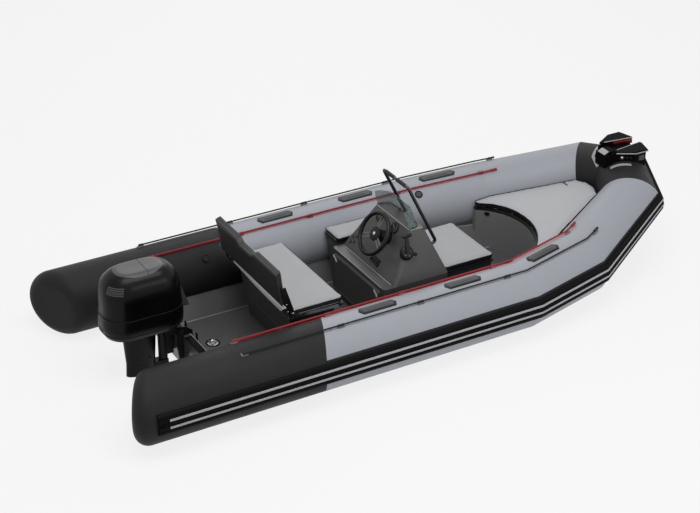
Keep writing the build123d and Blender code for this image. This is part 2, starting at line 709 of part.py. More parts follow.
def make_bow(tool):
    room = tube_tool(GAP)
    keep("sundeck_cushion", deck_layer(0, DECK_PAD_T, DECK_X1, room))
    keep("sundeck_lid", deck_layer(DECK_PAD_T + SOFT, DECK_BOARD_T, DECK_X1, room))
    drop = DECK_PAD_T + SOFT + DECK_BOARD_T + LID_SEAT
    inside = extrude(Pos(0, 0, FLOOR_Z + SEAT_GAP) * ring_of(LOCKER_PLAN), 900)
    block = (deck_layer(drop, 600, 2090, tool) & inside) - OUT["hull"] - OUT["cockpit_liner"]
    block = block - bow_well()
    keep("bow_locker", block.solids().sort_by(lambda s: s.volume)[-1])
    make_bow_step(tool)


def ring_of(half):
    """Closed plan outline from its port half."""
    return make_face(Polyline(*(half + [(x, -y) for x, y in reversed(half)]), close=True))


def make_bow_step(tool):
    """Step and anchor chute on the stem: a base, two cheeks with a lip and a sloping pad."""
    base = Pos(0, 0, STEP_BASE) * extrude(ring_of(STEP_PLAN), STEP_FLOOR - STEP_BASE + 1)
    block = Pos(0, 0, STEP_FLOOR) * extrude(ring_of(STEP_PLAN), 30)
    rim = Pos(0, 0, STEP_Z - 17) * extrude(ring_of(LIP_PLAN), 17)
    rim = chamfer(rim.faces().sort_by(Axis.Z)[-1].edges(), 5)
    channel = Pos(0, 0, STEP_FLOOR) * extrude(ring_of(CHUTE_PLAN), 60)
    step = base + ((block + rim) - channel)
    ramp = frustum((2050, 2152, -56, 56), STEP_FLOOR, (2100, 2156, -50, 50), STEP_Z - 22)
    step = (step + ramp) - tool - box(1900, 2500, -260, 260, 0, STEP_BASE + 10)
    keep("bow_step", step.solids().sort_by(lambda s: s.volume)[-1])
    slope = math.atan2(24, 50)
    pad_base = Plane(origin=(2075, 0, STEP_Z - 34), x_dir=(math.cos(slope), 0, math.sin(slope)),
                     z_dir=(-math.sin(slope), 0, math.cos(slope)))
    grip = extrude(pad_base * Pos(0, 0, SEAT_GAP) * Rectangle(48, 88), 5)
    keep("bow_step_pad", grip)
    outline = make_face(Polyline(*GUIDE_PLAN, close=True))
    guide = Pos(0, 0, STEP_FLOOR + 2) * extrude(outline, 34)
    keep("chute_guides", Compound([guide, twin(guide)]))


def make_eyes():
    """Towing eyes: one on the stem, two on the transom."""
    eyes = []
    a, b = STATIONS[-2], STATIONS[-1]
    rise = math.atan2(b[1] - a[1], b[0] - a[0])
    x = a[0] + 0.6 * (b[0] - a[0])
    z = a[1] + 0.6 * (b[1] - a[1])
    cx, cz = x + EYE_OUT * math.sin(rise), z - EYE_OUT * math.cos(rise)
    foot = Pos(x, 0, z) * Rot(0, -math.degrees(rise), 0) * Box(90, EYE_T, 2 * EYE_OUT)
    lug = foot + cross_bar(cx, cz, EYE_R, -EYE_T / 2, EYE_T / 2)
    eyes.append(lug - cross_bar(cx, cz, EYE_BORE, -50, 50) - OUT["hull"])
    for y in (-EYE_Y, EYE_Y):
        cx, cz = TRANSOM_X - EYE_OUT, EYE_Z
        back = box(TRANSOM_X - 8, TRANSOM_X - SEAT_GAP, y - 34, y + 34, cz - 30, cz + 30)
        lug = box(cx, TRANSOM_X - SEAT_GAP, y - EYE_R, y + EYE_R, cz - EYE_T / 2, cz + EYE_T / 2)
        lug += Pos(cx, y, cz) * Cylinder(EYE_R, EYE_T)
        eyes.append((lug + back) - Pos(cx, y, cz) * Cylinder(EYE_BORE, 100))
    keep("towing_eyes", Compound(eyes))


def prop_blade():
    """Twisted blade standing along Z, thinner and finer towards its tip."""
    sections = []
    for radius, chord, thick in BLADE:
        turn = math.atan2(PROP_PITCH, 2 * math.pi * radius)
        plane = Plane(origin=(0, 0, radius), x_dir=(math.sin(turn), math.cos(turn), 0),
                      z_dir=(0, 0, 1))
        sections.append(plane * Ellipse(chord / 2, thick / 2))
    return loft(sections)


def make_brackets():
    """Clamp on the transom and the swivel that turns in it about the tilt tube."""
    clamp = cross_bar(TILT_X, TILT_Z, PIVOT_R, -102, 102)
    for y in CLAMP_Y:
        clamp += side_plate(CLAMP_LINE, y, y + CLAMP_T)
    keep("clamp_bracket", clamp)
    column = Pos(STEER_X, 0, STEER_Z) * Cylinder(34, 250)
    ears = box(STEER_X, TILT_X, -82, 82, TILT_Z - 26, TILT_Z + 26)
    ears += cross_bar(TILT_X, TILT_Z, 26, -82, 82)
    web = box(STEER_X, TILT_X - 40, -30, 30, 110, TILT_Z)
    swivel = column + ears + web
    swivel -= cross_bar(TILT_X, TILT_Z, PIVOT_R + PIVOT_GAP, -200, 200)
    swivel -= Pos(STEER_X, 0, STEER_Z) * Cylinder(PIVOT_R + PIVOT_GAP, 600)
    keep("swivel_bracket", swivel)


def ellipses(rows):
    return loft([Pos(cx, 0, z) * Ellipse(a, b) for z, cx, a, b in rows], ruled=True)


def make_leg():
    """Leg with its steering shaft, the gearcase under it and the propeller."""
    shaft = Pos(STEER_X, 0, STEER_Z) * Cylinder(PIVOT_R, 290)
    upper = box(-2050, STEER_X + 26, -40, 40, LEG_TOP - 15, LEG_TOP)
    lower = box(-2000, STEER_X + 30, -32, 32, 40, 70)
    keep("motor_leg", ellipses(LEG_ROWS) + upper + lower + shaft)
    cav = Pos(-2075, 0, PLATE_Z - SEAT_GAP - 4) * Box(320, 180, 8)
    cav = fillet(cav.edges().filter_by(Axis.Z), 50)
    pod = Pos(POD_X, 0, PROP_Z) * Rot(0, 90, 0) * Cylinder(POD_R, 220)
    pod = fillet(pod.edges().sort_by(Axis.X)[-1], POD_R - 3)
    skeg = side_plate(SKEG_LINE, -5, 5)
    keep("gearcase", cav + ellipses(STRUT_ROWS) + pod + skeg)
    hub = Pos(PROP_X + 6, 0, PROP_Z) * Rot(0, 90, 0) * Cylinder(HUB_R, 98.8)
    prop = fillet(hub.edges().sort_by(Axis.X)[0], 12)
    for turn in (0, 120, 240):
        prop += Pos(PROP_X, 0, PROP_Z) * Rot(turn, 0, 0) * prop_blade()
    keep("propeller", prop)


def make_cowl():
    cowls = []
    for inset in (0.0, 5.0):
        rows = []
        for z, x0, x1, half, corner in COWL_ROWS:
            plan = Rectangle(x1 - x0 - 2 * inset, 2 * (half - inset))
            plan = fillet(plan.vertices(), corner - inset)
            low = inset and z == COWL_ROWS[0][0]
            rows.append(Pos((x0 + x1) / 2, 0, z - (1 if low else inset)) * plan)
        cowls.append(loft(rows))
    keep("cowl", cowls[0] - cowls[1])
    z0, c0, c1, half, corner = COWL_ROWS[0]
    rows = [(LEG_TOP + SEAT_GAP, -2150, -1800, 100, 80),
            (z0 - 34, c0 + 16, c1 - 16, half - 14, corner - 14),
            (z0 - SEAT_GAP, c0, c1, half, corner)]
    pan = []
    for z, x0, x1, wide, turn in rows:
        plan = Rectangle(x1 - x0, 2 * wide)
        pan.append(Pos((x0 + x1) / 2, 0, z) * fillet(plan.vertices(), turn))
    keep("lower_cowl", loft(pan, ruled=True))
    keep("powerhead", box(-2170, -1800, -125, 125, z0 + SEAT_GAP, COWL_ROWS[-1][0] - 150))


def build():
    tool = tube_tool(SEAT_GAP)
    make_tubes()
    make_hull(tool)
    make_tube_fittings()
    make_ropes()
    make_bench()
    make_console()
    make_bow(tool)
    make_eyes()
    make_brackets()
    make_leg()
    make_cowl()


if __name__ == "__main__":
    os.makedirs("parts", exist_ok=True)
    build()
    for name, shape in OUT.items():
        export_step(shape, "parts/" + name + ".step")
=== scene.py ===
import json
from itertools import product
from math import atan2, copysign, cos, degrees, pi, radians, sin, sqrt, tanh

import bmesh
import bpy
from mathutils import Matrix, Vector
from mathutils.bvhtree import BVHTree


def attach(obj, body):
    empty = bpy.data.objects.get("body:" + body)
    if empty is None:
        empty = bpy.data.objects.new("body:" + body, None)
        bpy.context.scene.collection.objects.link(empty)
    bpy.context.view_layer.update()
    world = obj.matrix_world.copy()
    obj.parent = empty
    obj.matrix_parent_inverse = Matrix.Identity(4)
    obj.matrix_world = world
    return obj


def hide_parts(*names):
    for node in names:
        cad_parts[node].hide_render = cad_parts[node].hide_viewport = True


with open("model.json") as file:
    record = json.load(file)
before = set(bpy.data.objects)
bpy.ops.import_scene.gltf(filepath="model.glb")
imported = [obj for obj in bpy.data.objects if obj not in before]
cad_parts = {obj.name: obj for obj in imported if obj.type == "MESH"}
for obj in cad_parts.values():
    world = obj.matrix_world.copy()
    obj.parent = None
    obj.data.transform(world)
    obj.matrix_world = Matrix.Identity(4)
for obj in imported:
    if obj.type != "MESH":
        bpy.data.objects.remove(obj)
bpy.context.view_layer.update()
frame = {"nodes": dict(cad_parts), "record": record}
nodes = frame["nodes"]
X, Y, Z = Vector((1, 0, 0)), Vector((0, 1, 0)), Vector((0, 0, 1))


# ---- materials
def srgb(*rgb):
    """Linear colour of a written one from 0 to 255."""
    return tuple(c / 255 / 12.92 if c <= 10 else ((c / 255 + 0.055) / 1.055) ** 2.4 for c in rgb)


def put(node, values):
    """Sets inputs of a shader node."""
    for name, value in values.items():
        node.inputs[name].default_value = value


RELIEF = {"noise": "Noise", "cell": "Voronoi", "weave": "Wave"}


def principled(name, rgb, rough, metallic=0.0, coat=0.0, grain=0.0, scale=400.0, kind="noise",
               mottle=0.05, worn=0.05, depth=0.0006, alpha=1.0, sheen=0.0, gloss=0.35):
    """Shader with a fine relief (noise, cell or weave) and slow changes of colour and gloss."""
    color = srgb(*rgb)
    m = bpy.data.materials.new(name)
    m.use_nodes = True
    new, link = m.node_tree.nodes.new, m.node_tree.links.new
    bsdf = m.node_tree.nodes["Principled BSDF"]
    put(bsdf, {"Metallic": metallic, "Coat Weight": coat, "Coat Roughness": 0.06, "Alpha": alpha,
               "Sheen Weight": sheen, "Specular IOR Level": gloss})
    where = new("ShaderNodeTexCoord").outputs["Object"]
    slow = new("ShaderNodeTexNoise")
    put(slow, {"Scale": 5.0, "Detail": 5})
    link(where, slow.inputs["Vector"])
    span = new("ShaderNodeMapRange")
    put(span, {"From Min": 0.35, "From Max": 0.65, "To Min": max(rough - worn, 0.03),
               "To Max": min(rough + worn, 1.0)})
    link(slow.outputs["Fac"], span.inputs["Value"])
    link(span.outputs["Result"], bsdf.inputs["Roughness"])
    mix = new("ShaderNodeMix")
    mix.data_type = "RGBA"
    put(mix, {"A": (*[c * (1 - mottle) for c in color], 1),
              "B": (*[min(c * (1 + mottle), 1) for c in color], 1)})
    link(slow.outputs["Fac"], mix.inputs["Factor"])
    link(mix.outputs["Result"], bsdf.inputs["Base Color"])
    if grain:
        fine = new("ShaderNodeTex" + RELIEF[kind])
        put(fine, {"Scale": scale})
        if kind == "noise":
            put(fine, {"Detail": 3})
        elif kind == "weave":
            fine.bands_direction = "DIAGONAL"
            put(fine, {"Distortion": 1.5})
        link(where, fine.inputs["Vector"])
        bump = new("ShaderNodeBump")
        put(bump, {"Strength": grain, "Distance": depth})
        link(fine.outputs["Distance" if kind == "cell" else "Fac"], bump.inputs["Height"])
        link(bump.outputs["Normal"], bsdf.inputs["Normal"])
    return m


# name: colour, roughness, other values
FINISH = {
    "black_fabric": ((33, 33, 34), 0.55, dict(gloss=0.14, grain=0.3, scale=700, kind="weave",
                                              mottle=0.08)),
    "grey_fabric": ((146, 149, 155), 0.48, dict(grain=0.3, scale=700, kind="weave", mottle=0.025)),
    "strake_rubber": ((7, 7, 8), 0.6, dict(grain=0.2, mottle=0.1, gloss=0.08)),
    "stripe_grey": ((160, 159, 162), 0.45, dict(grain=0.15, mottle=0.04)),
    "hull_gel": ((58, 59, 61), 0.3, dict(coat=0.3, mottle=0.03, grain=0.05, scale=60)),
    "liner_moulding": ((74, 74, 75), 0.5, dict(grain=0.35, scale=220, mottle=0.06)),
    "tread": ((66, 66, 67), 0.6, dict(grain=0.9, scale=90, kind="cell", depth=0.002)),
    "dark_moulding": ((65, 65, 64), 0.45, dict(coat=0.05, grain=0.25, scale=300)),
    "locker_moulding": ((118, 118, 118), 0.5, dict(grain=0.25, scale=300)),
    "step_moulding": ((4, 4, 5), 0.6, dict(grain=0.25, scale=300, mottle=0.08, gloss=0.05)),
    "deck_grey": ((164, 165, 167), 0.5, dict(grain=0.45, scale=420, kind="cell", mottle=0.03,
                                             sheen=0.1)),
    "lining": ((148, 149, 150), 0.5, dict(grain=0.4, scale=420, kind="cell", mottle=0.04)),
    "spoke": ((96, 96, 96), 0.35, dict(grain=0.1)),
    "cushion_grey": ((148, 149, 151), 0.5, dict(grain=0.45, scale=420, kind="cell", mottle=0.03,
                                                sheen=0.1)),
    "cushion_charcoal": ((40, 40, 41), 0.5, dict(grain=0.5, scale=420, kind="cell", mottle=0.06)),
    "cushion_rim": ((64, 64, 65), 0.5, dict(grain=0.5, scale=420, kind="cell", mottle=0.06)),
    "board": ((14, 14, 15), 0.5, dict(grain=0.2, mottle=0.08)),
    "black_trim": ((7, 7, 8), 0.45, dict(grain=0.15, mottle=0.08, gloss=0.25)),
    "rope_red": ((156, 27, 36), 0.75, dict(grain=0.8, scale=1200, mottle=0.12)),
    "rope_black": ((18, 18, 19), 0.75, dict(grain=0.8, scale=1200, mottle=0.12)),
    "patch_rubber": ((66, 67, 68), 0.6, dict(grain=0.4, scale=500, mottle=0.06)),
    "patch_soft": ((100, 102, 105), 0.6, dict(grain=0.4, scale=500, mottle=0.06)),
    "black_rail": ((11, 11, 12), 0.25, dict(coat=0.5, grain=0.05, scale=80, mottle=0.08)),
    "screen": ((112, 128, 128), 0.08, dict(alpha=0.42, mottle=0.02, worn=0.02, gloss=0.2)),
    "steel": ((200, 200, 202), 0.25, dict(metallic=1.0, grain=0.2, scale=300, mottle=0.04)),
    "motor_paint": ((3, 3, 4), 0.32, dict(coat=0.03, grain=0.04, scale=120, gloss=0.14)),
    "motor_casting": ((6, 6, 7), 0.5, dict(grain=0.3, scale=300, mottle=0.06, gloss=0.2)),
    "engine_block": ((60, 60, 62), 0.7, dict(metallic=0.6, grain=0.5, mottle=0.2)),
    "red_pad": ((150, 16, 30), 0.4, dict(grain=0.15, mottle=0.06)),
    "dial": ((9, 9, 10), 0.35, dict(coat=0.1, grain=0.05, gloss=0.2)),
    "pale_plastic": ((172, 172, 172), 0.35, dict(grain=0.1, mottle=0.04)),
    # pale grey of edge beads, lines and flanges: painted highlights on lit edges
    "painted_highlight": ((150, 150, 150), 0.4, dict(grain=0.1, mottle=0.04)),
    # grey of the cowl's top panel and intake slats: a painted reflection
    "cowl_reflection_grey": ((74, 74, 75), 0.4, dict(coat=0.05, grain=0.04, scale=120, gloss=0.2)),
}
M = {name: principled(name, rgb, rough, **more) for name, (rgb, rough, more) in FINISH.items()}
SLOTS = {s["node"]: s["material_slot"] for s in frame["record"]["subparts"]}
# nodes whose finish differs from their slot's in the render
# the bow step's pad takes the pale painted-highlight grey
LOOKS = {"bow_locker": "locker_moulding", "bow_step": "step_moulding", "bow_step_pad": "painted_highlight",
         "inner_grab_rope_patches": "patch_soft", "outer_lifeline_patches": "patch_soft"}
# node: width of its rounded edges in the render
BEVELS = {"console": 0.004, "bow_locker": 0.008, "seat_pod": 0.01, "side_box": 0.006,
          "console_seat_box": 0.008, "cockpit_liner": 0.006, "bow_step": 0.004, "hull": 0.004,
          "console_door": 0.003, "clamp_bracket": 0.003, "lower_cowl": 0.004,
          "side_box_lid": 0.003, "seat_lid": 0.003, "console_seat_lid": 0.003,
          "sundeck_lid": 0.003, "bow_step_pad": 0.0015, "backrest_arms": 0.003}


EDGE_ANGLE, NODE_SPLIT = radians(35), 28


def edge_finish(ob, width, split):
    """Rounds the edges to a width, or leaves those over an angle sharp."""
    if width:
        bevel = ob.modifiers.new("edge", "BEVEL")
        bevel.width = width
        bevel.segments = 2
        bevel.limit_method = "ANGLE"
        bevel.angle_limit = EDGE_ANGLE
        bevel.harden_normals = True
    else:
        ob.modifiers.new("corner", "EDGE_SPLIT").split_angle = radians(split)


for name, node in nodes.items():
    node.data.materials.clear()
    node.data.materials.append(M[LOOKS.get(name, SLOTS[name])])
    node.data.shade_smooth()
    edge_finish(node, BEVELS.get(name, 0.0), NODE_SPLIT)


# ---- mesh helpers
def link_new(name, data):
    ob = bpy.data.objects.new(name, data)
    bpy.context.scene.collection.objects.link(ob)
    return ob


class Heap:
    """Many small shapes joined into one piece."""

    def __init__(self):
        self.verts = []
        self.faces = []

    def add(self, shape, place=None):
        verts, faces = shape
        base = len(self.verts)
        self.verts += [place @ Vector(v) if place is not None else Vector(v) for v in verts]
        self.faces += [[i + base for i in f] for f in faces]
        return self

    def both(self):
        """Adds the mirror image about the centre plane."""
        n = len(self.verts)
        self.verts += [Vector((v.x, -v.y, v.z)) for v in self.verts]
        self.faces += [[i + n for i in reversed(f)] for f in self.faces]
        return self

    def piece(self, name, material, body="boat", slot=None, split=35, bevel=0.0):
        me = bpy.data.meshes.new(name)
        me.from_pydata([tuple(v) for v in self.verts], [], self.faces)
        me.update()
        ob = link_new(name, me)
        me.materials.append(M[material])
        me.shade_smooth()
        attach(ob, body)
        bm = bmesh.new()
        bm.from_mesh(me)
        bmesh.ops.recalc_face_normals(bm, faces=bm.faces)
        bm.to_mesh(me)
        bm.free()
        edge_finish(ob, bevel, split)
        return ob


def grid_faces(rows, cols, wrap_rows=False, wrap_cols=False, ends=False):
    out = []
    for r in range(rows if wrap_rows else rows - 1):
        for c in range(cols if wrap_cols else cols - 1):
            r2, c2 = (r + 1) % rows, (c + 1) % cols
            out.append([r * cols + c, r * cols + c2, r2 * cols + c2, r2 * cols + c])
    if ends:
        out.append(list(reversed(range(cols))))
        out.append([(rows - 1) * cols + c for c in range(cols)])
    return out


def circle(n):
    """Cosines and sines of n angles."""
    return [(cos(2 * pi * k / n), sin(2 * pi * k / n)) for k in range(n)]


def heading(pts, i, reach=1):
    return (pts[min(i + reach, len(pts) - 1)] - pts[max(i - reach, 0)]).normalized()


def tube(path, radius, sides=10, closed=False):
    """Round bar along points."""
    pts = [Vector(p) for p in path]
    n = len(pts)
    ring = circle(sides)
    verts = []
    side = None
    for i, p in enumerate(pts):
        t = (pts[(i + 1) % n] - pts[i - 1]).normalized() if closed else heading(pts, i)
        if side is None:
            side = t.cross(Z if abs(t.z) < 0.9 else X).normalized()
        else:
            side = (side - t * side.dot(t)).normalized()
        other = t.cross(side)
        verts += [p + (side * c + other * s) * radius for c, s in ring]
    return verts, grid_faces(n, sides, closed, True, ends=not closed)


def lathe(profile, sides=32):
    """Rows of radius and height turned about local z, closed at both ends."""
    verts = [(r * c, r * s, z) for r, z in profile for c, s in circle(sides)]
    return verts, grid_faces(len(profile), sides, wrap_cols=True, ends=True)


def prism(outline, z0, z1):
    """Flat outline of x, y raised from z0 to z1."""
    verts = [(x, y, z) for z in (z0, z1) for x, y in outline]
    return verts, grid_faces(2, len(outline), wrap_cols=True, ends=True)


def block(x0, x1, y0, y1, z0, z1):
    return prism([(x0, y0), (x1, y0), (x1, y1), (x0, y1)], z0, z1)


def round_rect(x0, x1, y0, y1, corner, n=8):
    pts = []
    for cx, cy, a0 in ((x1 - corner, y1 - corner, 0), (x0 + corner, y1 - corner, 90),
                       (x0 + corner, y0 + corner, 180), (x1 - corner, y0 + corner, 270)):
        for k in range(n + 1):
            w = radians(a0 + 90 * k / n)
            pts.append((cx + corner * cos(w), cy + corner * sin(w)))
    return pts


def place(origin, x_axis, z_axis):
    z = Vector(z_axis).normalized()
    x = Vector(x_axis)
    x = (x - z * x.dot(z)).normalized()
    m = Matrix((x, z.cross(x), z)).transposed().to_4x4()
    m.translation = Vector(origin)
    return m


def turned(w):
    """Turn about local z."""
    return place((0, 0, 0), (cos(w), sin(w), 0), Z)


def bvh(obj):
    dg = bpy.context.evaluated_depsgraph_get()
    return BVHTree.FromObject(obj, dg)


# ---- tube frame, as in the CAD
AXIS = [Vector(p) for p in ((-2.4, 0.802, 0.26), (0.736, 0.802, 0.269), (1.375, 0.684, 0.317),
                            (2.125, 0.321, 0.497), (2.257, 0.0, 0.553))]
RADII = (0.254, 0.254, 0.254, 0.232, 0.232)
HEAD = [(AXIS[i + 1] - AXIS[i]).normalized() for i in range(4)]
SIDE = [Z.cross(h).normalized() for h in HEAD]
UP = [HEAD[i].cross(SIDE[i]) for i in range(4)]


def hit(point, direction, origin, normal):
    return point + direction * ((origin - point).dot(normal) / direction.dot(normal))


def out_dir(i, angle):
    w = radians(angle)
    return SIDE[i] * sin(w) + UP[i] * cos(w)


def run(angle, lift, x0=-2.4, drop=0.0):
    """Line along the port tube at an angle from its top, as corner points at the kinks."""
    first = AXIS[0] + out_dir(0, angle) * (RADII[0] + lift)
    pts = [hit(first, HEAD[0], Vector((x0, 0, 0)), X)]
    for i in (1, 2):
        p = AXIS[i - 1] + out_dir(i - 1, angle) * (RADII[i - 1] + lift)
        pts.append(hit(p, HEAD[i - 1], AXIS[i], HEAD[i - 1] + HEAD[i]))
    p = AXIS[3] + out_dir(3, angle + drop) * (RADII[3] + lift)
    pts.append(hit(p, HEAD[3], AXIS[3], HEAD[2] + HEAD[3]))
    pts.append(hit(p, HEAD[3], AXIS[4], -Y))
    return pts


def between(pts, x0, x1, step=None):
    """Part of a line from x0 to x1, with extra points every step."""
    def at(x):
        for a, b in zip(pts, pts[1:]):
            if a.x <= x <= b.x:
                return a + (b - a) * ((x - a.x) / (b.x - a.x))
        return pts[0] if x < pts[0].x else pts[-1]
    knots = [at(x0)] + [p for p in pts if x0 + 1e-4 < p.x < x1 - 1e-4] + [at(x1)]
    out = []
    for a, b in zip(knots, knots[1:]):
        n = 1 if step is None else max(1, round((b - a).length / step))
        out += [a + (b - a) * (k / n) for k in range(n)]
    return out + [knots[-1]]


def segment_at(x):
    return max(k for k in range(4) if AXIS[k].x <= x)


def skin(x, angle, lift=0.0):
    """Point on the port tube abreast of the axis point at x."""
    i = segment_at(x)
    t = (x - AXIS[i].x) / (AXIS[i + 1].x - AXIS[i].x)
    r = RADII[i] + (RADII[i + 1] - RADII[i]) * t + lift
    return AXIS[i] + (AXIS[i + 1] - AXIS[i]) * t + out_dir(i, angle) * r


def skin_place(x, angle):
    i = segment_at(x)
    return place(skin(x, angle), HEAD[i], out_dir(i, angle))


def skin_patch(x, angle, half_l, half_w, height, shape, nu=40, nv=14):
    """Patch that follows the tube; height(u, v) and shape(v), the length at v, from -1 to 1."""
    verts = []
    radius = RADII[segment_at(x)]
    for r in range(nu + 1):
        for c in range(nv + 1):
            u, v = 2 * r / nu - 1, 2 * c / nv - 1
            du = u * half_l * shape(v)
            da = degrees(v * half_w / radius)
            verts.append(skin(x + du, angle + da, height(u, v)))
    return verts, grid_faces(nu + 1, nv + 1)


BOW_DROP = -9.0          # turn of the strake on the last run of tube, degrees


def sweep_profile(heap, profile, x0):
    """Open section of angles and lifts swept along the port tube, mitred at the kinks."""
    rows = [run(angle, lift, x0, BOW_DROP) for angle, lift in profile]
    verts = []
    for k in range(4):
        steps = 12 if k == 0 else 4
        for s in range(steps):
            verts += [r[k] + (r[k + 1] - r[k]) * (s / steps) for r in rows]
    verts += [r[4] for r in rows]
    n = len(profile)
    faces = grid_faces(len(verts) // n, n)
    faces.append(list(reversed(range(n))))
    heap.add((verts, faces))


# ---- strakes: ribbed section with two pale stripes
STRAKE = ((70, -0.002), (70.5, 0.012), (72.2, 0.021), (75.5, 0.022), (76.2, 0.0165), (79.2, 0.0165),
          (79.8, 0.0225), (84.2, 0.0225), (84.8, 0.0165), (87, 0.0165), (87.6, 0.0205),
          (88.6, 0.0205), (89.2, 0.0165), (91, 0.0165), (91.6, 0.0225), (96, 0.0225),
          (96.6, 0.0165), (99.6, 0.0165), (100.4, 0.022), (103.6, 0.021), (105.5, 0.012),
          (106, -0.002))
heap = Heap()
sweep_profile(heap, STRAKE, -2.335)
for k in range(6):
    # short cross ribs at the stern end
    x = -2.327 + 0.0115 * k
    rows = [(0, 0.015), (0.0012, 0.0235), (0.0048, 0.0235), (0.006, 0.015)]
    angles = [79, 79.6, 85, 90, 96.2, 96.8]
    verts = [skin(x + dx, a, lift if 79 < a < 96.8 else 0.015) for dx, lift in rows for a in angles]
    heap.add((verts, grid_faces(4, 6)))
strake = heap.both().piece("rubbing_strake_ribbed", "strake_rubber", split=25)
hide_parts("strake_port", "strake_starboard")
heap = Heap()
for lo, hi in ((80.1, 83.9), (91.9, 95.7)):
    stripe = ((lo, 0.0222), (lo + 0.15, 0.0236), (hi - 0.15, 0.0236), (hi, 0.0222))
    sweep_profile(heap, stripe, -2.257)
heap.both().piece("strake_stripes", "stripe_grey", slot="strake_rubber", split=25)
# glued edge tapes above and below the strake
heap = Heap()
for lo, hi in ((65.5, 70.4), (105.6, 110)):
    tape = ((lo, -0.001), (lo + 0.3, 0.0012), (hi - 0.3, 0.0012), (hi, -0.001))
    sweep_profile(heap, tape, -2.31)
heap.both().piece("strake_edge_tape", "black_fabric", split=50)

# ---- ropes
def twisted(heap, pts, radius, pitch, strands=3, sides=6):
    """Laid rope: strands turning about the line."""
    length = 0
    paths = [[] for _ in range(strands)]
    for i, p in enumerate(pts):
        if i:
            length += (p - pts[i - 1]).length
        t = heading(pts, i)
        side = t.cross(Z).normalized()
        other = t.cross(side)
        for s in range(strands):
            turn = 2 * pi * (length / pitch + s / strands)
            paths[s].append(p + (side * cos(turn) + other * sin(turn)) * radius * 0.5)
    for path in paths:
        heap.add(tube(path, radius * 0.56, sides))


ROPE_LIFT = 0.012        # underside of a rope to the tube
ROPE_FULL = 1.3          # fuller than the CAD's radius
ROPE_LAY = 0.034         # length of a strand's turn
STEP = 0.006
# name, angle, first x, last x, radius, slot, stations of its fittings
ROPES = (("inner_grab_rope", -24, -1.6, 1.412, 0.006, "rope_red",
          (-1.592, -0.85, -0.24, 0.56, 1.392)),
         ("outer_lifeline", 18, -1.61, 1.5, 0.005, "rope_black",
          (-1.602, -0.848, -0.19, 0.56, 1.48)))
for name, angle, x0, x1, radius, slot, stops in ROPES:
    line = run(angle, radius + ROPE_LIFT)
    heap = Heap()
    twisted(heap, between(line, x0, x1, STEP), radius * ROPE_FULL, ROPE_LAY)
    rope = heap.both().piece(name + "_laid", slot)
    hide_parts(name + "s")
    heap = Heap()
    for x in stops:
        # moulded loop round the rope on its patch
        near = max(x0 + 0.001, x - 0.017)
        far = min(x1 - 0.001, x + 0.017)
        heap.add(tube(between(line, near, far, STEP), radius + 0.0032, 14))
        for e in (near, far):
            bead = between(line, max(x0, e - 0.0025), min(x1, e + 0.0025))
            heap.add(tube(bead, radius + 0.0044, 14))
    heap.both().piece(name + "_loops", slot, slot="patch_rubber")
    heap = Heap()
    for e, s in ((x0, -1), (x1, 1)):
        mid = between(line, e, e + 0.001)[0]
        heap.add(tube([mid, mid + HEAD[segment_at(e)] * (s * 0.006)], radius + 0.0034, 14))
    heap.both().piece(name + "_stops", slot, slot="steel")

# ---- carry handles, inflation valves
HANDLE_X = (-0.496, 0.227, 0.99)


def rim_height(u, v, rise, edge_u=0.05, edge_v=0.12):
    t = min((1 - abs(u)) / edge_u, (1 - abs(v)) / edge_v, 1.0)
    return -0.003 + (rise + 0.003) * sqrt(max(0.0, 1 - (1 - t) ** 2))


def grip_height(u, v):
    t = max(0.0, 1 - u ** 6) * max(0.0, 1 - v ** 4)
    return 0.004 + 0.009 * sqrt(t)


base, inset, grip = Heap(), Heap(), Heap()
for x in HANDLE_X:
    base.add(skin_patch(x, -2, 0.16, 0.046, lambda u, v: rim_height(u, v, 0.0065),
                        lambda v: 1 - 0.16 * abs(v)))
    inset.add(skin_patch(x, -2.6, 0.14, 0.033, lambda u, v: rim_height(u, v, 0.0085, 0.03, 0.1),
                         lambda v: 1 - 0.12 * abs(v)))
    grip.add(skin_patch(x, -2.6, 0.105, 0.013, grip_height, lambda v: 1))
handle = base.both().piece("handle_base", "black_trim", slot="patch_rubber", split=60)
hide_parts("carry_handles")
inset.both().piece("handle_inset", "patch_rubber", split=60)
grip.both().piece("handle_grip", "patch_rubber", split=60)
ring, cap, aft_cap = Heap(), Heap(), Heap()
for x, angle, lid in ((-1.188, -50.7, aft_cap), (0.778, -37.3, cap)):
    spot = skin_place(x, angle)
    ring.add(lathe(((0.033, -0.004), (0.033, 0.004), (0.031, 0.0068), (0.0285, 0.008),
                    (0.026, 0.007), (0.0245, 0.004), (0.0235, 0.003))), spot)
    lid.add(lathe(((0.0225, 0.002), (0.0225, 0.0052), (0.0205, 0.0068), (0.011, 0.0068),
                   (0.01, 0.0052))), spot)
    for turn in (0.5, 2.07):
        lid.add(block(-0.0185, 0.0185, -0.0022, 0.0022, 0.005, 0.0085), spot @ turned(turn))
valve = ring.both().piece("valve_rings", "black_trim", slot="patch_rubber")
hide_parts("inflation_valves")
cap.both().piece("valve_caps", "patch_rubber", bevel=0.0006)
aft_cap.both().piece("stern_valve_caps", "board", bevel=0.0006)


# ---- cushions
SIM_FRAMES = 14
FACES_UP = 0.55
LID_GAP = 0.0004
PIPING, PIPING_STEP = 0.0035, 0.012


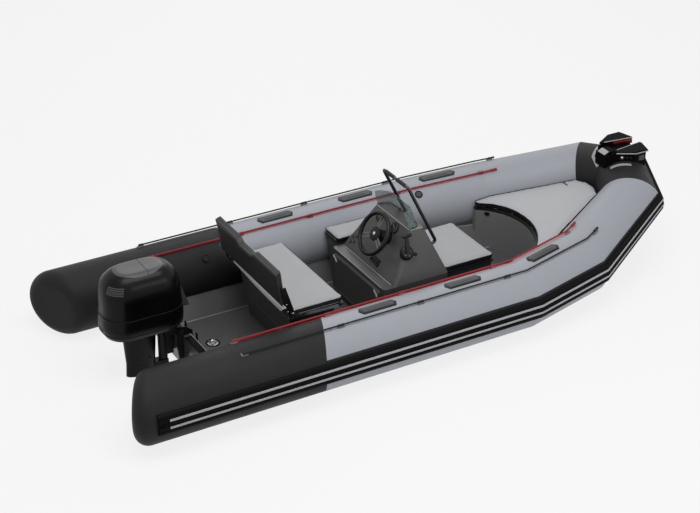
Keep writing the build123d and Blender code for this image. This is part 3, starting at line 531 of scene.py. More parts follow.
def soft(node, name, body, up, cap, shrink, mats, voxel=0.01, shape=None, seam="black_trim"):
    """Cushion grown from its CAD solid: remeshed, blown up by cloth pressure, held to a cap.

    mats are the covers of its upper side and of its other sides. A cushion without a shape of
    its own stays above its lid."""
    up = Vector(up).normalized()
    work = link_new("work_" + name, nodes[node].data.copy())
    rim = outline_loop(work.data, up)
    mod = work.modifiers.new("remesh", "REMESH")
    mod.mode = "VOXEL"
    mod.voxel_size = voxel
    dg = bpy.context.evaluated_depsgraph_get()
    me = bpy.data.meshes.new_from_object(work.evaluated_get(dg))
    bpy.data.objects.remove(work)
    for v, n in zip(me.vertices, [v.normal.copy() for v in me.vertices]):
        v.co -= n * shrink
    ob = link_new(name, me)
    start = [v.co.copy() for v in me.vertices]
    cloth = ob.modifiers.new("puff", "CLOTH")
    how = cloth.settings
    how.quality = 4
    how.use_pressure = True
    how.uniform_pressure_force = 4
    how.effector_weights.gravity = 0
    cloth.collision_settings.use_collision = False
    cloth.point_cache.frame_end = SIM_FRAMES
    for f in range(1, SIM_FRAMES + 1):
        bpy.context.scene.frame_set(f)
    dg = bpy.context.evaluated_depsgraph_get()
    blown = [v.co.copy() for v in ob.evaluated_get(dg).data.vertices]
    ob.modifiers.remove(cloth)
    bpy.context.scene.frame_set(1)
    low = min(p.dot(up) for p in start) - shrink
    for v, a, b in zip(me.vertices, start, blown):
        step = b - a
        if step.length > 1e-6:
            step *= cap * tanh(step.length / cap) / step.length
        v.co = a + step
        if shape:
            v.co = shape(v.co)
        elif v.co.dot(up) < low + shrink:
            v.co += up * (low + LID_GAP - v.co.dot(up))
    me.materials.clear()
    for mat in mats:
        me.materials.append(M[mat])
    me.update()
    for p in me.polygons:
        p.material_index = 0 if p.normal.dot(up) > FACES_UP else 1
        p.use_smooth = True
    smooth = ob.modifiers.new("smooth", "SUBSURF")
    smooth.levels = smooth.render_levels = 1
    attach(ob, body)
    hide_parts(node)
    tree = BVHTree.FromPolygons([v.co for v in me.vertices], [p.vertices for p in me.polygons])
    path = []
    for p in resample(rim, PIPING_STEP):
        spot, normal = tree.find_nearest(shape(p) if shape else p)[:2]
        path.append(spot + normal * PIPING * 0.3)
    for _ in range(3):
        path = [(path[k - 1] + path[k] * 2 + path[(k + 1) % len(path)]) / 4
                for k in range(len(path))]
    piping = Heap().add(tube(path, PIPING, 8, closed=True))
    piping = piping.piece(name + "_piping", seam, body, SLOTS[node], split=60)


def outline_loop(me, up):
    """Longest loop of edges between the faces that look up and the rest."""
    bm = bmesh.new()
    bm.from_mesh(me)
    bmesh.ops.remove_doubles(bm, verts=bm.verts, dist=1e-5)
    links = {}
    for e in bm.edges:
        if len({f.normal.dot(up) > FACES_UP for f in e.link_faces}) == 2:
            a, b = (v.index for v in e.verts)
            links.setdefault(a, []).append(b)
            links.setdefault(b, []).append(a)
    bm.verts.ensure_lookup_table()
    best = []
    seen = set()
    for first in sorted(links):
        if first in seen:
            continue
        loop = [first]
        seen.add(first)
        while True:
            ahead = [k for k in links[loop[-1]] if k not in seen]
            if not ahead:
                break
            loop.append(ahead[0])
            seen.add(ahead[0])
        pts = [bm.verts[k].co.copy() for k in loop]
        if measure(pts) > measure(best):
            best = pts
    bm.free()
    return best


def measure(pts):
    return sum((a - b).length for a, b in zip(pts, pts[1:] + pts[:1]))


def resample(pts, step):
    total = measure(pts)
    n = max(8, round(total / step))
    out = []
    ring = pts + pts[:1]
    k, gone = 0, 0
    for j in range(n):
        want = total * j / n
        while gone + (ring[k + 1] - ring[k]).length < want:
            gone += (ring[k + 1] - ring[k]).length
            k += 1
        d = (ring[k + 1] - ring[k]).length
        out.append(ring[k] + (ring[k + 1] - ring[k]) * ((want - gone) / d if d else 0))
    return out


def smoothstep(a, b, x):
    t = min(max((x - a) / (b - a), 0.0), 1.0)
    return t * t * (3 - 2 * t)


def scoop(co):
    """The backrest's top edge dips between the two places."""
    t = smoothstep(0.62, 0.845, co.z)
    dip = 1 - smoothstep(0.085, 0.15, abs(co.y))
    return Vector((co.x, co.y, co.z - 0.03 * t * dip))


SLOPE = Vector((-0.1867, 0, 0.9824))
GREY = ("cushion_grey", "board")
soft("seat_cushion", "seat_pad", "seat_base", Z, 0.009, 0.007, GREY)
soft("side_box_cushion", "side_box_pad", "side_seat", Z, 0.008, 0.006, GREY)
soft("console_seat_cushion", "console_seat_pad", "front_seat", Z, 0.009, 0.007, GREY)
soft("sundeck_cushion", "sundeck_pad", "bow_seat", SLOPE, 0.009, 0.007, ("deck_grey", "board"),
     voxel=0.011)
soft("backrest", "backrest_pad", "seat_back", (-0.9877, 0, -0.1564), 0.009, 0.007,
     ("cushion_charcoal", "cushion_charcoal"), shape=scoop, seam="cushion_rim")

# pale lining under the backrest, over the back edge of the seat
heap = Heap()
rows = [(-1.03, 0.4685), (-1.048, 0.4672), (-1.06, 0.462), (-1.066, 0.454), (-1.064, 0.4525),
        (-1.058, 0.4595), (-1.047, 0.4645), (-1.03, 0.4655)]
verts = []
for y, f in ((-0.412, 1.25), (-0.4, 1.3), (-0.2, 1.3), (0, 1.15), (0.2, 0.85), (0.4, 0.6),
             (0.41, 0.58)):
    # narrower towards port
    verts += [Vector((-1.03 + (x + 1.03) * f, y, z)) for x, z in rows]
heap.add((verts, grid_faces(7, 8, wrap_cols=True, ends=True)))
lining = heap.piece("seat_back_lining", "lining", "seat_base", "cushion_grey")
# bolts of the backrest's pivots and the lid's edge trim
heap = Heap()
for x, z, r in ((-1.032, 0.47, 0.0125), (-1.0695, 0.497, 0.006), (-1.0815, 0.56, 0.006),
                (-1.106, 0.56, 0.006)):
    heap.add(lathe(((r, -0.002), (r, 0.0012), (r * 0.85, 0.0026), (r * 0.3, 0.003)), 20),
             place((x, 0.5125, z), X, Y))
heap.both().piece("backrest_bolts", "steel", "seat_back")

# ---- bench details
heap = Heap()
for z in (0.33, 0.18):
    # moulded lines round the pod
    t = (0.411 - z) / 0.4
    x0, x1, half = -1.005 + 0.045 * t, -0.615 - 0.065 * t, 0.4 - 0.06 * t
    ring = [(x0, -half), (x1, -half), (x1, half), (x0, half)]
    heap.add(tube([(x, y, z) for x, y in ring], 0.0035, 8, closed=True))
heap.piece("seat_pod_lines", "dark_moulding")

# ---- console
DASH_FOOT = (-0.15, 0.405)      # x, z
DASH_RUN, DASH_RISE = 0.21, 0.36
DASH = atan2(DASH_RISE, DASH_RUN)
DASH_N = Vector((-sin(DASH), 0, cos(DASH)))
WHEEL = place((-0.135, -0.12, 0.706), -Y, (-cos(radians(30)), 0, 0.5))
WHEEL_R = 0.16
TOWER_Y = -0.06                 # its centre line


def on_dash(y, z):
    x = DASH_FOOT[0] + (z - DASH_FOOT[1]) / DASH_RISE * DASH_RUN
    return place((x, y, z), -Y, DASH_N)


rim, spoke, hub = Heap(), Heap(), Heap()
verts = []
for k, (cw, sw) in enumerate(circle(64)):
    # thicker grips at the sides
    w = 2 * pi * k / 64
    r = (0.0155 + 0.0022 * cos(2 * w) ** 2) * (1 + 0.03 * cos(20 * w))
    verts += [((WHEEL_R + r * c) * cw, (WHEEL_R + r * c) * sw, r * s) for c, s in circle(12)]
rim.add((verts, grid_faces(64, 12, wrap_rows=True, wrap_cols=True)), WHEEL)
for turn in (90, 210, 330):
    arm = WHEEL @ turned(radians(turn))
    for s in (-1, 1):
        # each spoke is two bars with a slot between them
        bar = [(0.03, s * 0.004), (0.152, s * 0.01), (0.152, s * 0.021), (0.03, s * 0.017)]
        spoke.add(prism(bar, -0.015, -0.0085), arm)
    spoke.add(block(0.145, 0.158, -0.022, 0.022, -0.016, -0.006), arm)
hub.add(lathe(((0.036, -0.04), (0.046, -0.03), (0.056, -0.014), (0.054, -0.006), (0.042, -0.002),
               (0.016, -0.001)), 40), WHEEL)
cap = Heap().add(lathe(((0.014, -0.004), (0.014, 0.0005), (0.011, 0.0025), (0.004, 0.0035)), 32),
                 WHEEL)
wheel = rim.piece("wheel_rim", "black_trim", "helm", split=60)
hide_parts("steering_wheel")
spoke.piece("wheel_spokes", "spoke", "helm", "black_trim", bevel=0.001)
hub.piece("wheel_hub", "black_trim", "helm")
cap.piece("wheel_cap", "steel", "helm")

bezel, face, marks = Heap(), Heap(), Heap()
for y in (-0.145, 0.07):
    spot = on_dash(y, 0.719)
    bezel.add(lathe(((0.043, 0), (0.043, 0.007), (0.04, 0.0105), (0.0365, 0.0105),
                     (0.0355, 0.006), (0.034, 0.0055)), 48), spot)
    face.add(lathe(((0.0355, 0.0052), (0.0355, 0.0066), (0.01, 0.0067)), 48), spot)
    for k in range(25):
        tick = spot @ turned(radians(220 - 260 * k / 24))
        inner = 0.026 if k % 4 == 0 else 0.029
        marks.add(block(inner, 0.0325, -0.0004, 0.0004, 0.0066, 0.0071), tick)
    needle = place((0, 0, 0), (-0.8, 0.6, 0), Z)
    marks.add(prism([(-0.008, -0.0012), (0.027, -0.0003), (0.027, 0.0003), (-0.008, 0.0012)],
                    0.0072, 0.0082), spot @ needle)
gauge = bezel.piece("gauge_bezels", "black_trim", slot="dial")
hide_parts("gauges")
face.piece("gauge_faces", "dial")
marks.piece("gauge_marks", "pale_plastic", slot="dial")

# rocker switches, key panel and a pale bead on the ledge, a painted highlight
body, knob, key = Heap(), Heap(), Heap()
for y, z in ((0.264, 0.454), (0.222, 0.47), (0.264, 0.492), (0.222, 0.508)):
    spot = on_dash(y, z)
    body.add(block(-0.017, 0.017, -0.011, 0.011, -0.001, 0.004), spot)
    knob.add(block(-0.013, 0.013, -0.007, 0.007, 0.003, 0.0075), spot)
spot = on_dash(-0.105, 0.47)
body.add(prism([(-0.056, -0.03), (0.064, -0.038), (0.064, 0.016), (-0.045, 0.024)], -0.001, 0.01),
         spot)
for dx in (-0.03, 0.004, 0.038):
    key.add(lathe(((0.009, 0.009), (0.009, 0.013), (0.006, 0.015)), 24),
            spot @ Matrix.Translation((dx, -0.008, 0)))
key.add(block(-0.032, -0.028, -0.016, 0, 0.014, 0.022), spot)
body.piece("switch_bodies", "black_trim", bevel=0.0015)
knob.piece("switch_rockers", "dark_moulding", bevel=0.0012)
key.piece("key_switches", "motor_casting", slot="steel")
# pale bead along the ledge's forward edge: a painted highlight
heap = Heap().add(tube([(-0.153, y, 0.4075) for y in (-0.41, -0.2, 0, 0.2, 0.285)], 0.003, 8))
# painted highlights along the edges of the tower's top
heap.add(tube([(0.061, y, 0.7655) for y in (0.182, -0.06, -0.302)], 0.0035, 8))
heap.add(tube([(x, -0.309, 0.7645) for x in (0.064, 0.12, 0.172)], 0.003, 8))
heap.add(tube([(-0.237, y, 0.4065) for y in (-0.41, 0, 0.29)], 0.0025, 8))
heap.piece("console_highlight_beads", "painted_highlight", slot="dark_moulding")

# throttle on the starboard wall of the tower
LEAN = atan2(0.14, 0.36)
WALL = Vector((0, -cos(LEAN), sin(LEAN)))
THROTTLE = place(Vector((0, -0.3664, 0.62)), X, WALL)
base, arm, ring, grip = Heap(), Heap(), Heap(), Heap()
base.add(lathe(((0.056, 0), (0.056, 0.01), (0.051, 0.019), (0.041, 0.025), (0.036, 0.026)), 40),
         THROTTLE)
for turn in (0.4, 1.97):
    ring.add(block(-0.03, 0.03, -0.006, 0.006, 0.0255, 0.029), THROTTLE @ turned(turn))
ring.add(lathe(((0.017, 0.025), (0.017, 0.03), (0.014, 0.032), (0.006, 0.032)), 32), THROTTLE)
arm.add(prism([(-0.018, -0.01), (0.018, -0.01), (0.021, 0.118), (-0.008, 0.122)], 0.026, 0.039),
        THROTTLE)
arm.add(prism([(0.01, -0.02), (0.058, -0.034), (0.06, -0.012), (0.014, 0.012)], 0.022, 0.032),
        THROTTLE)
grip.add(tube([(-0.026, 0.126, 0.034), (-0.02, 0.129, 0.034), (0.02, 0.131, 0.034),
               (0.042, 0.13, 0.034), (0.046, 0.129, 0.034)], 0.0135, 16), THROTTLE)
grip.add(lathe(((0.013, 0.022), (0.015, 0.03), (0.013, 0.04), (0.005, 0.043)), 24),
         THROTTLE @ Matrix.Translation((0.057, -0.022, 0)))
lever = base.piece("throttle_base", "black_trim")
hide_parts("throttle_control")
ring.piece("throttle_ring", "spoke", slot="black_trim")
arm.piece("throttle_arm", "black_trim", bevel=0.002)
grip.piece("throttle_grip", "black_trim", split=50)

# door: raised edge, latches
ring = [(-0.2575, y, z) for y, z in round_rect(-0.392, 0.282, 0.078, 0.367, 0.014, 4)]
Heap().add(tube(ring, 0.003, 8, closed=True)).piece("door_edge", "dark_moulding", "door", split=60)
heap, pin = Heap(), Heap()
for y in (-0.362, 0.252):
    spot = place((-0.2565, y, 0.344), (0, -0.8, -0.6), -X)
    heap.add(prism([(-0.032, -0.008), (0.03, -0.01), (0.034, 0), (0.03, 0.01),
                    (-0.032, 0.008)], 0, 0.008), spot)
    pin.add(lathe(((0.006, 0.007), (0.006, 0.0095), (0.003, 0.0102)), 20), spot)
latch = heap.piece("door_latch_levers", "pale_plastic", "door", "steel", bevel=0.002)
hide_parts("door_latches")
pin.piece("door_latch_pins", "steel", "door")

# windscreen edge, feet and rail flanges
SCREEN = ((0.066, 0.24), (0.112, 0.232), (0.146, 0.214), (0.17, 0.176), (0.178, 0.13))
path = [(x, TOWER_Y + y, 0.7665) for x, y in SCREEN]
path += [(x, TOWER_Y - y, 0.7665) for x, y in reversed(SCREEN)]
Heap().add(tube(path, 0.0032, 8)).piece("screen_bottom_edge", "black_trim", slot="screen", split=60)
heap = Heap()
for (x, y), s in product(((0.1, 0.236), (0.178, 0.08)), (-1, 1)):
    heap.add(lathe(((0.01, 0.7652), (0.01, 0.769), (0.007, 0.775), (0.004, 0.776)), 20),
             Matrix.Translation((x, TOWER_Y + s * y, 0)))
for y in (0.078, -0.278):
    spot = place((0.2545, y, 0.588), Y, (0.928, 0, 0.374))
    heap.add(lathe(((0.027, -0.002), (0.027, 0.006), (0.024, 0.009), (0.016, 0.01),
                    (0.015, 0.016), (0.0135, 0.017)), 32), spot)
heap.piece("rail_and_screen_feet", "black_rail")
heap = Heap()
for s in (-1, 1):
    # rubber grips on the rail's crown
    heap.add(tube([(0.06, -0.1 + s * (0.02 + 0.01 * k), 1.105) for k in range(13)], 0.0155, 16))
heap.piece("rail_grips", "black_trim", split=50)

# ---- liner: tread, painted highlight lines on its edges, floor drain
treads = Heap()
CELL = 0.034
SOLE = 0.01


def tread(x0, x1, y0, y1):
    """Raised diamonds of an anti-slip area."""
    nx, ny = int((x1 - x0) / CELL), int((y1 - y0) / CELL)
    for i, j in product(range(nx), range(ny)):
        cx = x0 + (i + 0.5) * (x1 - x0) / nx
        cy = y0 + (j + 0.5) * (y1 - y0) / ny
        a, b = (0.011, 0.0045) if (i + j) % 2 else (0.0045, 0.011)
        lo = [(cx - a, cy), (cx, cy - b), (cx + a, cy), (cx, cy + b)]
        verts = [(x, y, SOLE - 0.0005) for x, y in lo]
        verts += [(cx + (x - cx) * 0.6, cy + (y - cy) * 0.6, SOLE + 0.0016) for x, y in lo]
        treads.add((verts, grid_faces(2, 4, wrap_cols=True) + [[4, 5, 6, 7]]))


tread(-1.62, -1.03, -0.41, 0.41)
tread(-0.56, -0.28, -0.41, 0.41)
tread(0.84, 1.22, -0.2, 0.2)
treads.piece("floor_tread", "tread", slot="liner_moulding", split=20)
# pale beads along the liner's ledges, floor edges and transom top: painted highlights
heap = Heap()
edge = [(-1.655, 0.587), (0.64, 0.587), (1.325, 0.427)]
for s in (-1, 1):
    heap.add(tube([(x, s * y, 0.172) for x, y in edge], 0.004, 8))
    heap.add(tube([(-1.652, s * 0.452, 0.012), (0.63, s * 0.452, 0.012),
                   (1.322, s * 0.302, 0.012)], 0.0035, 8))
heap.add(tube([(-1.651, -0.45, 0.013), (-1.651, 0.45, 0.013)], 0.0035, 8))
heap.add(tube([(-1.6575, -0.555, 0.2755), (-1.6575, 0.555, 0.2755)], 0.0035, 8))
heap.piece("liner_highlight_beads", "painted_highlight", slot="liner_moulding", split=60)
ring, bit = Heap(), Heap()
spot = Matrix.Translation((-1.393, 0.09, SOLE))
ring.add(lathe(((0.056, -0.002), (0.056, 0.003), (0.05, 0.006), (0.044, 0.006), (0.042, 0.002)),
               40), spot)
bit.add(lathe(((0.04, -0.001), (0.04, 0.0035), (0.012, 0.004)), 40), spot)
bit.add(tube([(-0.024, 0, 0.003), (-0.022, 0, 0.018), (-0.012, 0, 0.026), (0.012, 0, 0.026),
              (0.022, 0, 0.018), (0.024, 0, 0.003)], 0.0055, 12), spot)
ring.piece("floor_eye_recess", "black_trim", split=40)
bit.piece("floor_eye", "steel", split=50)

# ---- sundeck, bow locker
HOLLOW_X, HOLLOW_R = 0.67, 0.64      # centre and radius of the locker's hollow front
LATCH_Y = 0.347
# lift latches on the hollow front of the locker
x, y = HOLLOW_X + sqrt(HOLLOW_R ** 2 - LATCH_Y ** 2), LATCH_Y
facing = Vector((HOLLOW_X - x, -y, 0)).normalized()
spot = place(Vector((x, y, 0.314)) + facing * 0.0015, Z, facing)
heap = Heap().add(block(-0.014, 0.014, -0.02, 0.02, -0.004, 0.005), spot)
pin = Heap().add(lathe(((0.009, 0.004), (0.009, 0.008), (0.007, 0.009)), 24), spot)
heap.both().piece("locker_latches", "black_trim", bevel=0.002)
pin.both().piece("locker_latch_pulls", "black_trim", slot="steel")
# sewn pull tab on the sundeck
spot = Vector((1.8206, 0.142, 0.395 + 0.19 * (1.8206 - 1.15))) + SLOPE * 0.002
heap = Heap().add(block(-0.006, 0.006, -0.034, 0.034, -0.002, 0.004),
                  place(spot, (1, 0, 0.19), SLOPE))
heap.piece("sundeck_pull_tab", "patch_rubber", "bow_seat", "cushion_grey", bevel=0.0012)

# ---- bow step
LIP = ((2.118, 0.1125), (2.256, 0.1925), (2.374, 0.1925), (2.4105, 0.066))
CHUTE_EDGE = ((2.142, 0.0835), (2.27, 0.0665), (2.402, 0.0505))
# pale lines along the step's lip and the chute's edges: painted highlights
heap = Heap().add(tube([(x, y, 0.8315) for x, y in LIP], 0.005, 8))
heap.add(tube([(x, y, 0.8455) for x, y in CHUTE_EDGE], 0.0045, 8))
heap.both().piece("bow_step_highlight_lines", "painted_highlight", slot="dark_moulding", split=60)
# pins on the step's sides, the first of them with a washer
dark, shine = Heap(), Heap()
n = Vector((-0.47, 0.88, 0)).normalized()
along = n.cross(Z)
mid = Vector((2.1654, 0.1285, 0.789))
for d, pins in ((0, shine), (0.042, dark), (0.07, dark)):
    pins.add(lathe(((0.0105, -0.002), (0.0105, 0.003), (0.008, 0.0055), (0.003, 0.006)), 24),
             place(mid + along * d, Z, n))
dark.add(lathe(((0.022, -0.002), (0.022, 0.002), (0.02, 0.003)), 28), place(mid, Z, n))
shine.both().piece("bow_step_pins", "steel")
dark.both().piece("bow_step_sockets", "black_trim", slot="dark_moulding")
# pale strips where the step meets the bow tube: a painted highlight, the reflection on the tube's
# curve at the step's foot
heap = Heap()
tree = bvh(nodes["tube_bow"])
for pts in (((2.2074, -0.2092, 0.7512), (2.1221, -0.1514, 0.747), (2.064, -0.113, 0.714)),
            ((2.2074, 0.2092, 0.7512), (2.1274, 0.1619, 0.7483), (2.0697, 0.1217, 0.7201),
             (2.0464, 0.0178, 0.6751))):
    dense = [Vector(a).lerp(Vector(b), k / 8) for a, b in zip(pts, pts[1:]) for k in range(8)]
    dense.append(Vector(pts[-1]))
    verts = []
    for k, p in enumerate(dense):
        n = tree.find_nearest(p)[1]
        side = heading(dense, k, 2).cross(n).normalized()
        for c in range(9):
            spot = tree.find_nearest(p + side * 0.015 * (c - 4) / 4)[0]
            border = c in (0, 8) or k in (0, len(dense) - 1)
            verts.append(spot + n * (-0.002 if border else 0.003))
    heap.add((verts, grid_faces(len(dense), 9)))
heap.piece("bow_step_foot_highlight", "painted_highlight", slot="grey_fabric", split=50)
heap = Heap().add(block(2.296, 2.352, 0.1783, 0.1815, 0.755, 0.8))
heap.both().piece("bow_step_side_pads", "patch_rubber", slot="red_pad", bevel=0.001)
# ribs across the anchor chute
heap = Heap()
for k in range(7):
    x = 2.175 + 0.03 * k
    half = 0.078 - 0.128 * (x - 2.139)
    heap.add(block(x, x + 0.007, -half + 0.012, half - 0.012, 0.8, 0.8035))
for s in (-1, 1):
    # skirts over the lower part of the red guides
    heap.add(prism([(2.2236, s * 0.07), (2.2236, s * 0.0632), (2.396, s * 0.0408),
                    (2.396, s * 0.0421), (2.2246, s * 0.0643), (2.2246, s * 0.07)], 0.802, 0.824))
heap.piece("chute_ribs", "black_trim", slot="dark_moulding", bevel=0.0003)

# ---- hull: spray rails, keel band, towing eye bolts
# x, height of the keel, half width and height of the chine
STATIONS = ((-1.71, -0.24, 0.56, -0.05), (0.2, -0.24, 0.56, -0.045), (0.8, -0.24, 0.54, -0.02),
            (1.4, -0.19, 0.42, 0.06), (1.85, -0.02, 0.24, 0.2), (2.17, 0.265, 0.06, 0.345))


def hull_station(x):
    for a, b in zip(STATIONS, STATIONS[1:]):
        if x <= b[0]:
            t = (x - a[0]) / (b[0] - a[0])
            return [p + (q - p) * t for p, q in zip(a[1:], b[1:])]
    return STATIONS[-1][1:]


heap = Heap()
for part, reach in ((0.36, 1.75), (0.7, 1.6), (0.985, 1.9)):
    stops = sorted({x for x in (-1.7, -1, -0.3, 0.2, 0.5, 0.8, 1.1, 1.4, 1.625, reach)
                    if x <= reach})
    verts = []
    for k, x in enumerate(stops):
        keel, cy, cz = hull_station(x)
        fade = 0.15 if k == len(stops) - 1 else 1.0
        n = Vector((0, cz - keel, -cy)).normalized()
        t = Vector((0, cy, cz - keel)).normalized()
        p = Vector((x, cy * part, keel + (cz - keel) * part)) - n * 0.001
        verts += [p - t * 0.03, p + n * 0.016 * fade + t * 0.004 * fade, p + t * 0.008]
    heap.add((verts, grid_faces(len(stops), 3, wrap_cols=True, ends=True)))
heap.both().piece("spray_rails", "hull_gel", split=25)
# flat band along the keel, 30 mm wide and 4 mm thick
path = [Vector((x, 0, hull_station(x)[0])) for x in (-1.7, -0.6, 0.2, 0.8, 1.4, 1.85, 2)]
verts = []
for i, p in enumerate(path):
    side = heading(path, i).cross(-Z)
    verts += [p + side * y - Z * h for y, h in ((-0.015, 0), (-0.012, 0.004), (0.012, 0.004),
                                                (0.015, 0))]
heap = Heap().add((verts, grid_faces(len(path), 4, wrap_cols=True, ends=True)))
heap.piece("keel_band", "black_trim", slot="hull_gel", split=50)
bolts = Heap()
for y, dz, dy in product((-0.43, 0.43), (-0.02, 0.02), (-0.024, 0.024)):
    bolts.add(lathe(((0.005, -0.001), (0.005, 0.0022), (0.003, 0.003)), 16),
              place((-1.7182, y + dy, 0.13 + dz), Y, -X))
bolts.piece("towing_eye_bolts", "steel")

# ---- outboard
tree = bvh(nodes["cowl"])
COWL_X, LEG_X, CASE_X = -1.985, -2.01, -2.03     # middles of cowl, leg and gearcase
SHAFT_Z = -0.352
SCREW_Y = 0.095


def oval(x, a, b):
    """Half width at x of an oval section of the leg."""
    return b * sqrt(max(0.0, 1 - (x / a) ** 2))


def cowl_top(x, y, lift):
    spot, normal = tree.ray_cast(Vector((x, y, 1.2)), -Z)[:2]
    return spot + normal * lift


# raised top panel with a seam across it, its grey a painted reflection of a softbox on the cowl's
# top
verts = []
for r in range(13):
    lift = 0.0035 if r < 11 else (0.0022 if r == 11 else -0.002)
    for c, s in circle(64):
        x = -1.99 + 0.19 * r / 12 * copysign(abs(c) ** 0.8, c)
        verts.append(cowl_top(x, 0.128 * r / 12 * copysign(abs(s) ** 0.9, s), lift))
heap = Heap().add((verts, grid_faces(13, 64, wrap_cols=True)))
heap.piece("cowl_top_reflection", "cowl_reflection_grey", "motor", "motor_paint", split=50)
heap = Heap().add(tube([cowl_top(-1.955, 0.012 * k, 0.0042) for k in range(-10, 11)], 0.0014, 8))
heap.piece("cowl_panel_seam", "motor_casting", "motor", split=60)
# air intake at the back, its slats real but their grey a painted highlight on the cowl's rear
slats = Heap()
for s in (-1, 1):
    for k in range(5):
        verts = []
        for j in range(9):
            w = radians(s * (14 + 3.4 * j) + 180)
            d = Vector((cos(w), sin(w), 0))
            for z, lift in ((0.76, -0.001), (0.762, 0.003), (0.7665, 0.003), (0.7685, -0.001)):
                start = Vector((COWL_X, 0, z + 0.0115 * k)) + d * 0.6
                spot, normal = tree.ray_cast(start, -d)[:2]
                verts.append(spot + normal * lift)
        slats.add((verts, grid_faces(9, 4)))
slats.piece("cowl_intake_slats", "cowl_reflection_grey", "motor", "motor_paint", split=50)
# seal and waist line round the cowl
for name, x0, x1, half, corner, z, radius, sides in (
        ("cowl_seal", -2.2875, -1.6865, 0.1835, 0.159, 0.4255, 0.004, 10),
        ("cowl_waist_line", -2.291, -1.6805, 0.189, 0.168, 0.56, 0.0022, 8)):
    ring = [(x, y, z) for x, y in round_rect(x0, x1, -half, half, corner)]
    ring = Heap().add(tube(ring, radius, sides, closed=True))
    ring.piece(name, "motor_casting", "motor", split=60)
# latch at the back of the cowl and bolts along the leg
heap = Heap()
heap.add(prism([(-0.036, -0.012), (0.036, -0.012), (0.03, 0.012), (-0.03, 0.012)], -0.004, 0.008),
         place((-2.288, 0, 0.455), Y, (-1, 0, 0.05)))
heap.piece("cowl_latch", "motor_casting", "motor", bevel=0.002)
heap = Heap()
for x, z in ((-2.09, 0.32), (-1.93, 0.32), (-2.06, 0.14), (-1.96, 0.14)):
    t = (z - 0.1) / 0.264
    y = oval(x - LEG_X, 0.112 + 0.018 * t, 0.052 + 0.02 * t)
    heap.add(lathe(((0.009, -0.003), (0.009, 0.004), (0.006, 0.005)), 6), place((x, y, z), X, Y))
heap.both().piece("leg_bolts", "motor_casting", "motor", bevel=0.0008)
heap = Heap()
heap.add(lathe(((0.016, -0.004), (0.016, 0.01), (0.012, 0.013), (0.006, 0.013)), 24),
         place((-1.722, 0.1035, 0.317), X, Y))
# clamp screws with their handles and pads, inside the transom
screw = place((-1.6375, SCREW_Y, 0.215), Y, X)
heap.add(lathe(((0.01, 0), (0.01, 0.04), (0.008, 0.042)), 16), screw)
heap.add(tube([(x, SCREW_Y, z) for x, z in ((-1.605, 0.165), (-1.603, 0.19), (-1.603, 0.24),
                                            (-1.605, 0.265))], 0.0075, 12))
heap.both().piece("clamp_screws", "motor_casting", slot="steel", split=50)
heap = Heap()
heap.add(lathe(((0.03, -0.0222), (0.03, -0.015), (0.022, -0.012), (0.012, -0.0005)), 28), screw)
heap.both().piece("clamp_pads", "motor_casting")
# rubber cap along the transom's top, beside the clamp
heap = Heap().add(block(-1.7125, -1.6575, 0.135, 0.42, 0.27, 0.2785))
heap.both().piece("transom_cap", "step_moulding", slot="black_trim", bevel=0.002)
# water intake on both sides of the gearcase
heap = Heap()
for k in range(5):
    z = -0.262 + 0.011 * k
    t = (z - SHAFT_Z) / 0.162
    verts = []
    for j in range(7):
        x = -1.995 + 0.008 * j
        y = oval(x - CASE_X, 0.1 + 0.008 * t, 0.026 + 0.012 * t)
        for dz, dy in ((0, -0.001), (0.001, 0.002), (0.004, 0.002), (0.005, -0.001)):
            verts.append((x, y + dy, z + dz))
    heap.add((verts, grid_faces(7, 4)))
heap.both().piece("water_intake", "steel", "motor", "motor_casting", split=50)
nut = Heap().add(lathe(((0.016, 0), (0.016, 0.004), (0.011, 0.014), (0.004, 0.016)), 20),
                 place((-2.2394, 0, SHAFT_Z), Y, -X))
nut.piece("propeller_nut", "steel", "screw", "motor_casting")

# ---- camera
YAW, PITCH, ROLL = radians(-29.73), radians(29.04), radians(0.19)
CAMERA_AT = (-5.938, -9.922, 6.83)
SENSOR, LENS = 36.0, 88.96
back = Vector((sin(YAW) * cos(PITCH), -cos(YAW) * cos(PITCH), sin(PITCH)))
right = Vector((cos(YAW), sin(YAW), 0))
up = back.cross(right)
look = Matrix((right * cos(ROLL) + up * sin(ROLL), up * cos(ROLL) - right * sin(ROLL), back))
look = look.transposed().to_4x4()
look.translation = CAMERA_AT
cam_data = bpy.data.cameras.new("camera")
cam_data.sensor_width = SENSOR
cam_data.lens = LENS
cam_data.clip_end = 300
cam = link_new("camera", cam_data)
cam.matrix_world = look
bpy.context.scene.camera = cam

# ---- floor and light
WHITE = (0.94, 0.94, 0.94, 1)
FLOOR_GREY = (0.86, 0.86, 0.86, 1)
FLOOR_HALF = 60
FLOOR_SHARE = 0.87       # the rest is shaded, and keeps the shadow
SKY = (0.96, 0.97, 1.0, 1)
SKY_LEVEL = 0.42
AIM = Vector((0, 0, 0.3))
# name, place, size, power
LAMPS = (("key", (-1.0, -2.0, 7.5), (6.0, 4.0), 380), ("fill", (3.0, 7.0, 5.0), (5.0, 3.0), 110),
         ("side", (3.0, -8.0, 3.5), (5.0, 2.5), 110))


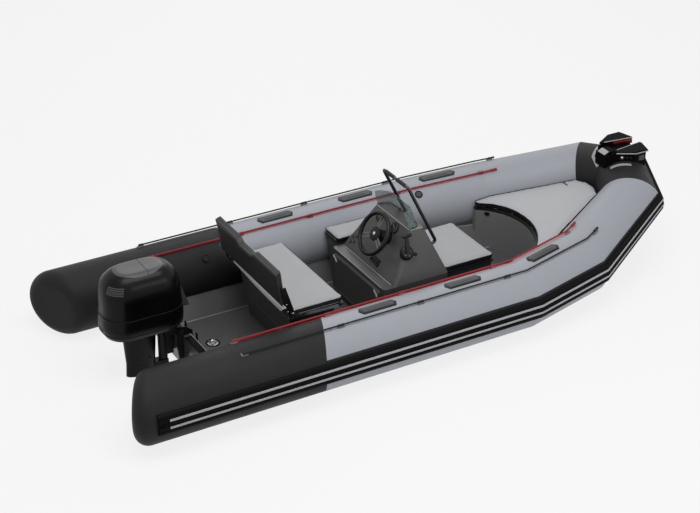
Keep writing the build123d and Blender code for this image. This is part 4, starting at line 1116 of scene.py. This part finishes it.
def seen_white(nt, plain, share, out):
    """Mixes plain shading with an even white for rays that see the backdrop itself."""
    link = nt.links.new
    path = nt.nodes.new("ShaderNodeLightPath")
    lit = nt.nodes.new("ShaderNodeEmission" if out.type == "OUTPUT_MATERIAL"
                       else "ShaderNodeBackground")
    put(lit, {"Color": WHITE, "Strength": 1.0})

    def combine(operation, a, b):
        node = nt.nodes.new("ShaderNodeMath")
        node.operation = operation
        link(a, node.inputs[0])
        if isinstance(b, float):
            node.inputs[1].default_value = b
        else:
            link(b, node.inputs[1])
        return node.outputs[0]

    seen = combine("MAXIMUM", path.outputs["Is Glossy Ray"], path.outputs["Is Transmission Ray"])
    seen = combine("MAXIMUM", path.outputs["Is Camera Ray"], seen)
    mix = nt.nodes.new("ShaderNodeMixShader")
    link(combine("MULTIPLY", seen, share), mix.inputs["Fac"])
    link(plain.outputs[0], mix.inputs[1])
    link(lit.outputs[0], mix.inputs[2])
    link(mix.outputs[0], out.inputs["Surface"])


floor_me = bpy.data.meshes.new("floor")
corners = [(x * FLOOR_HALF, y * FLOOR_HALF, 0) for x, y in ((-1, -1), (1, -1), (1, 1), (-1, 1))]
floor_me.from_pydata(corners, [], [[0, 1, 2, 3]])
floor = link_new("floor", floor_me)
mat = bpy.data.materials.new("floor")
mat.use_nodes = True
plain = mat.node_tree.nodes["Principled BSDF"]
put(plain, {"Base Color": FLOOR_GREY, "Roughness": 0.9, "Specular IOR Level": 0.0})
seen_white(mat.node_tree, plain, FLOOR_SHARE, mat.node_tree.nodes["Material Output"])
floor_me.materials.append(mat)

world = bpy.data.worlds.new("world")
bpy.context.scene.world = world
world.use_nodes = True
sky = world.node_tree.nodes["Background"]
put(sky, {"Color": SKY, "Strength": SKY_LEVEL})
seen_white(world.node_tree, sky, 1.0, world.node_tree.nodes["World Output"])

for name, at, size, power in LAMPS:
    data = bpy.data.lights.new(name, "AREA")
    data.shape = "RECTANGLE"
    data.size, data.size_y = size
    data.energy = power
    ob = link_new(name, data)
    ob.location = at
    ob.rotation_euler = (AIM - Vector(at)).to_track_quat("-Z", "Y").to_euler()

bpy.context.scene.view_settings.view_transform = "Standard"
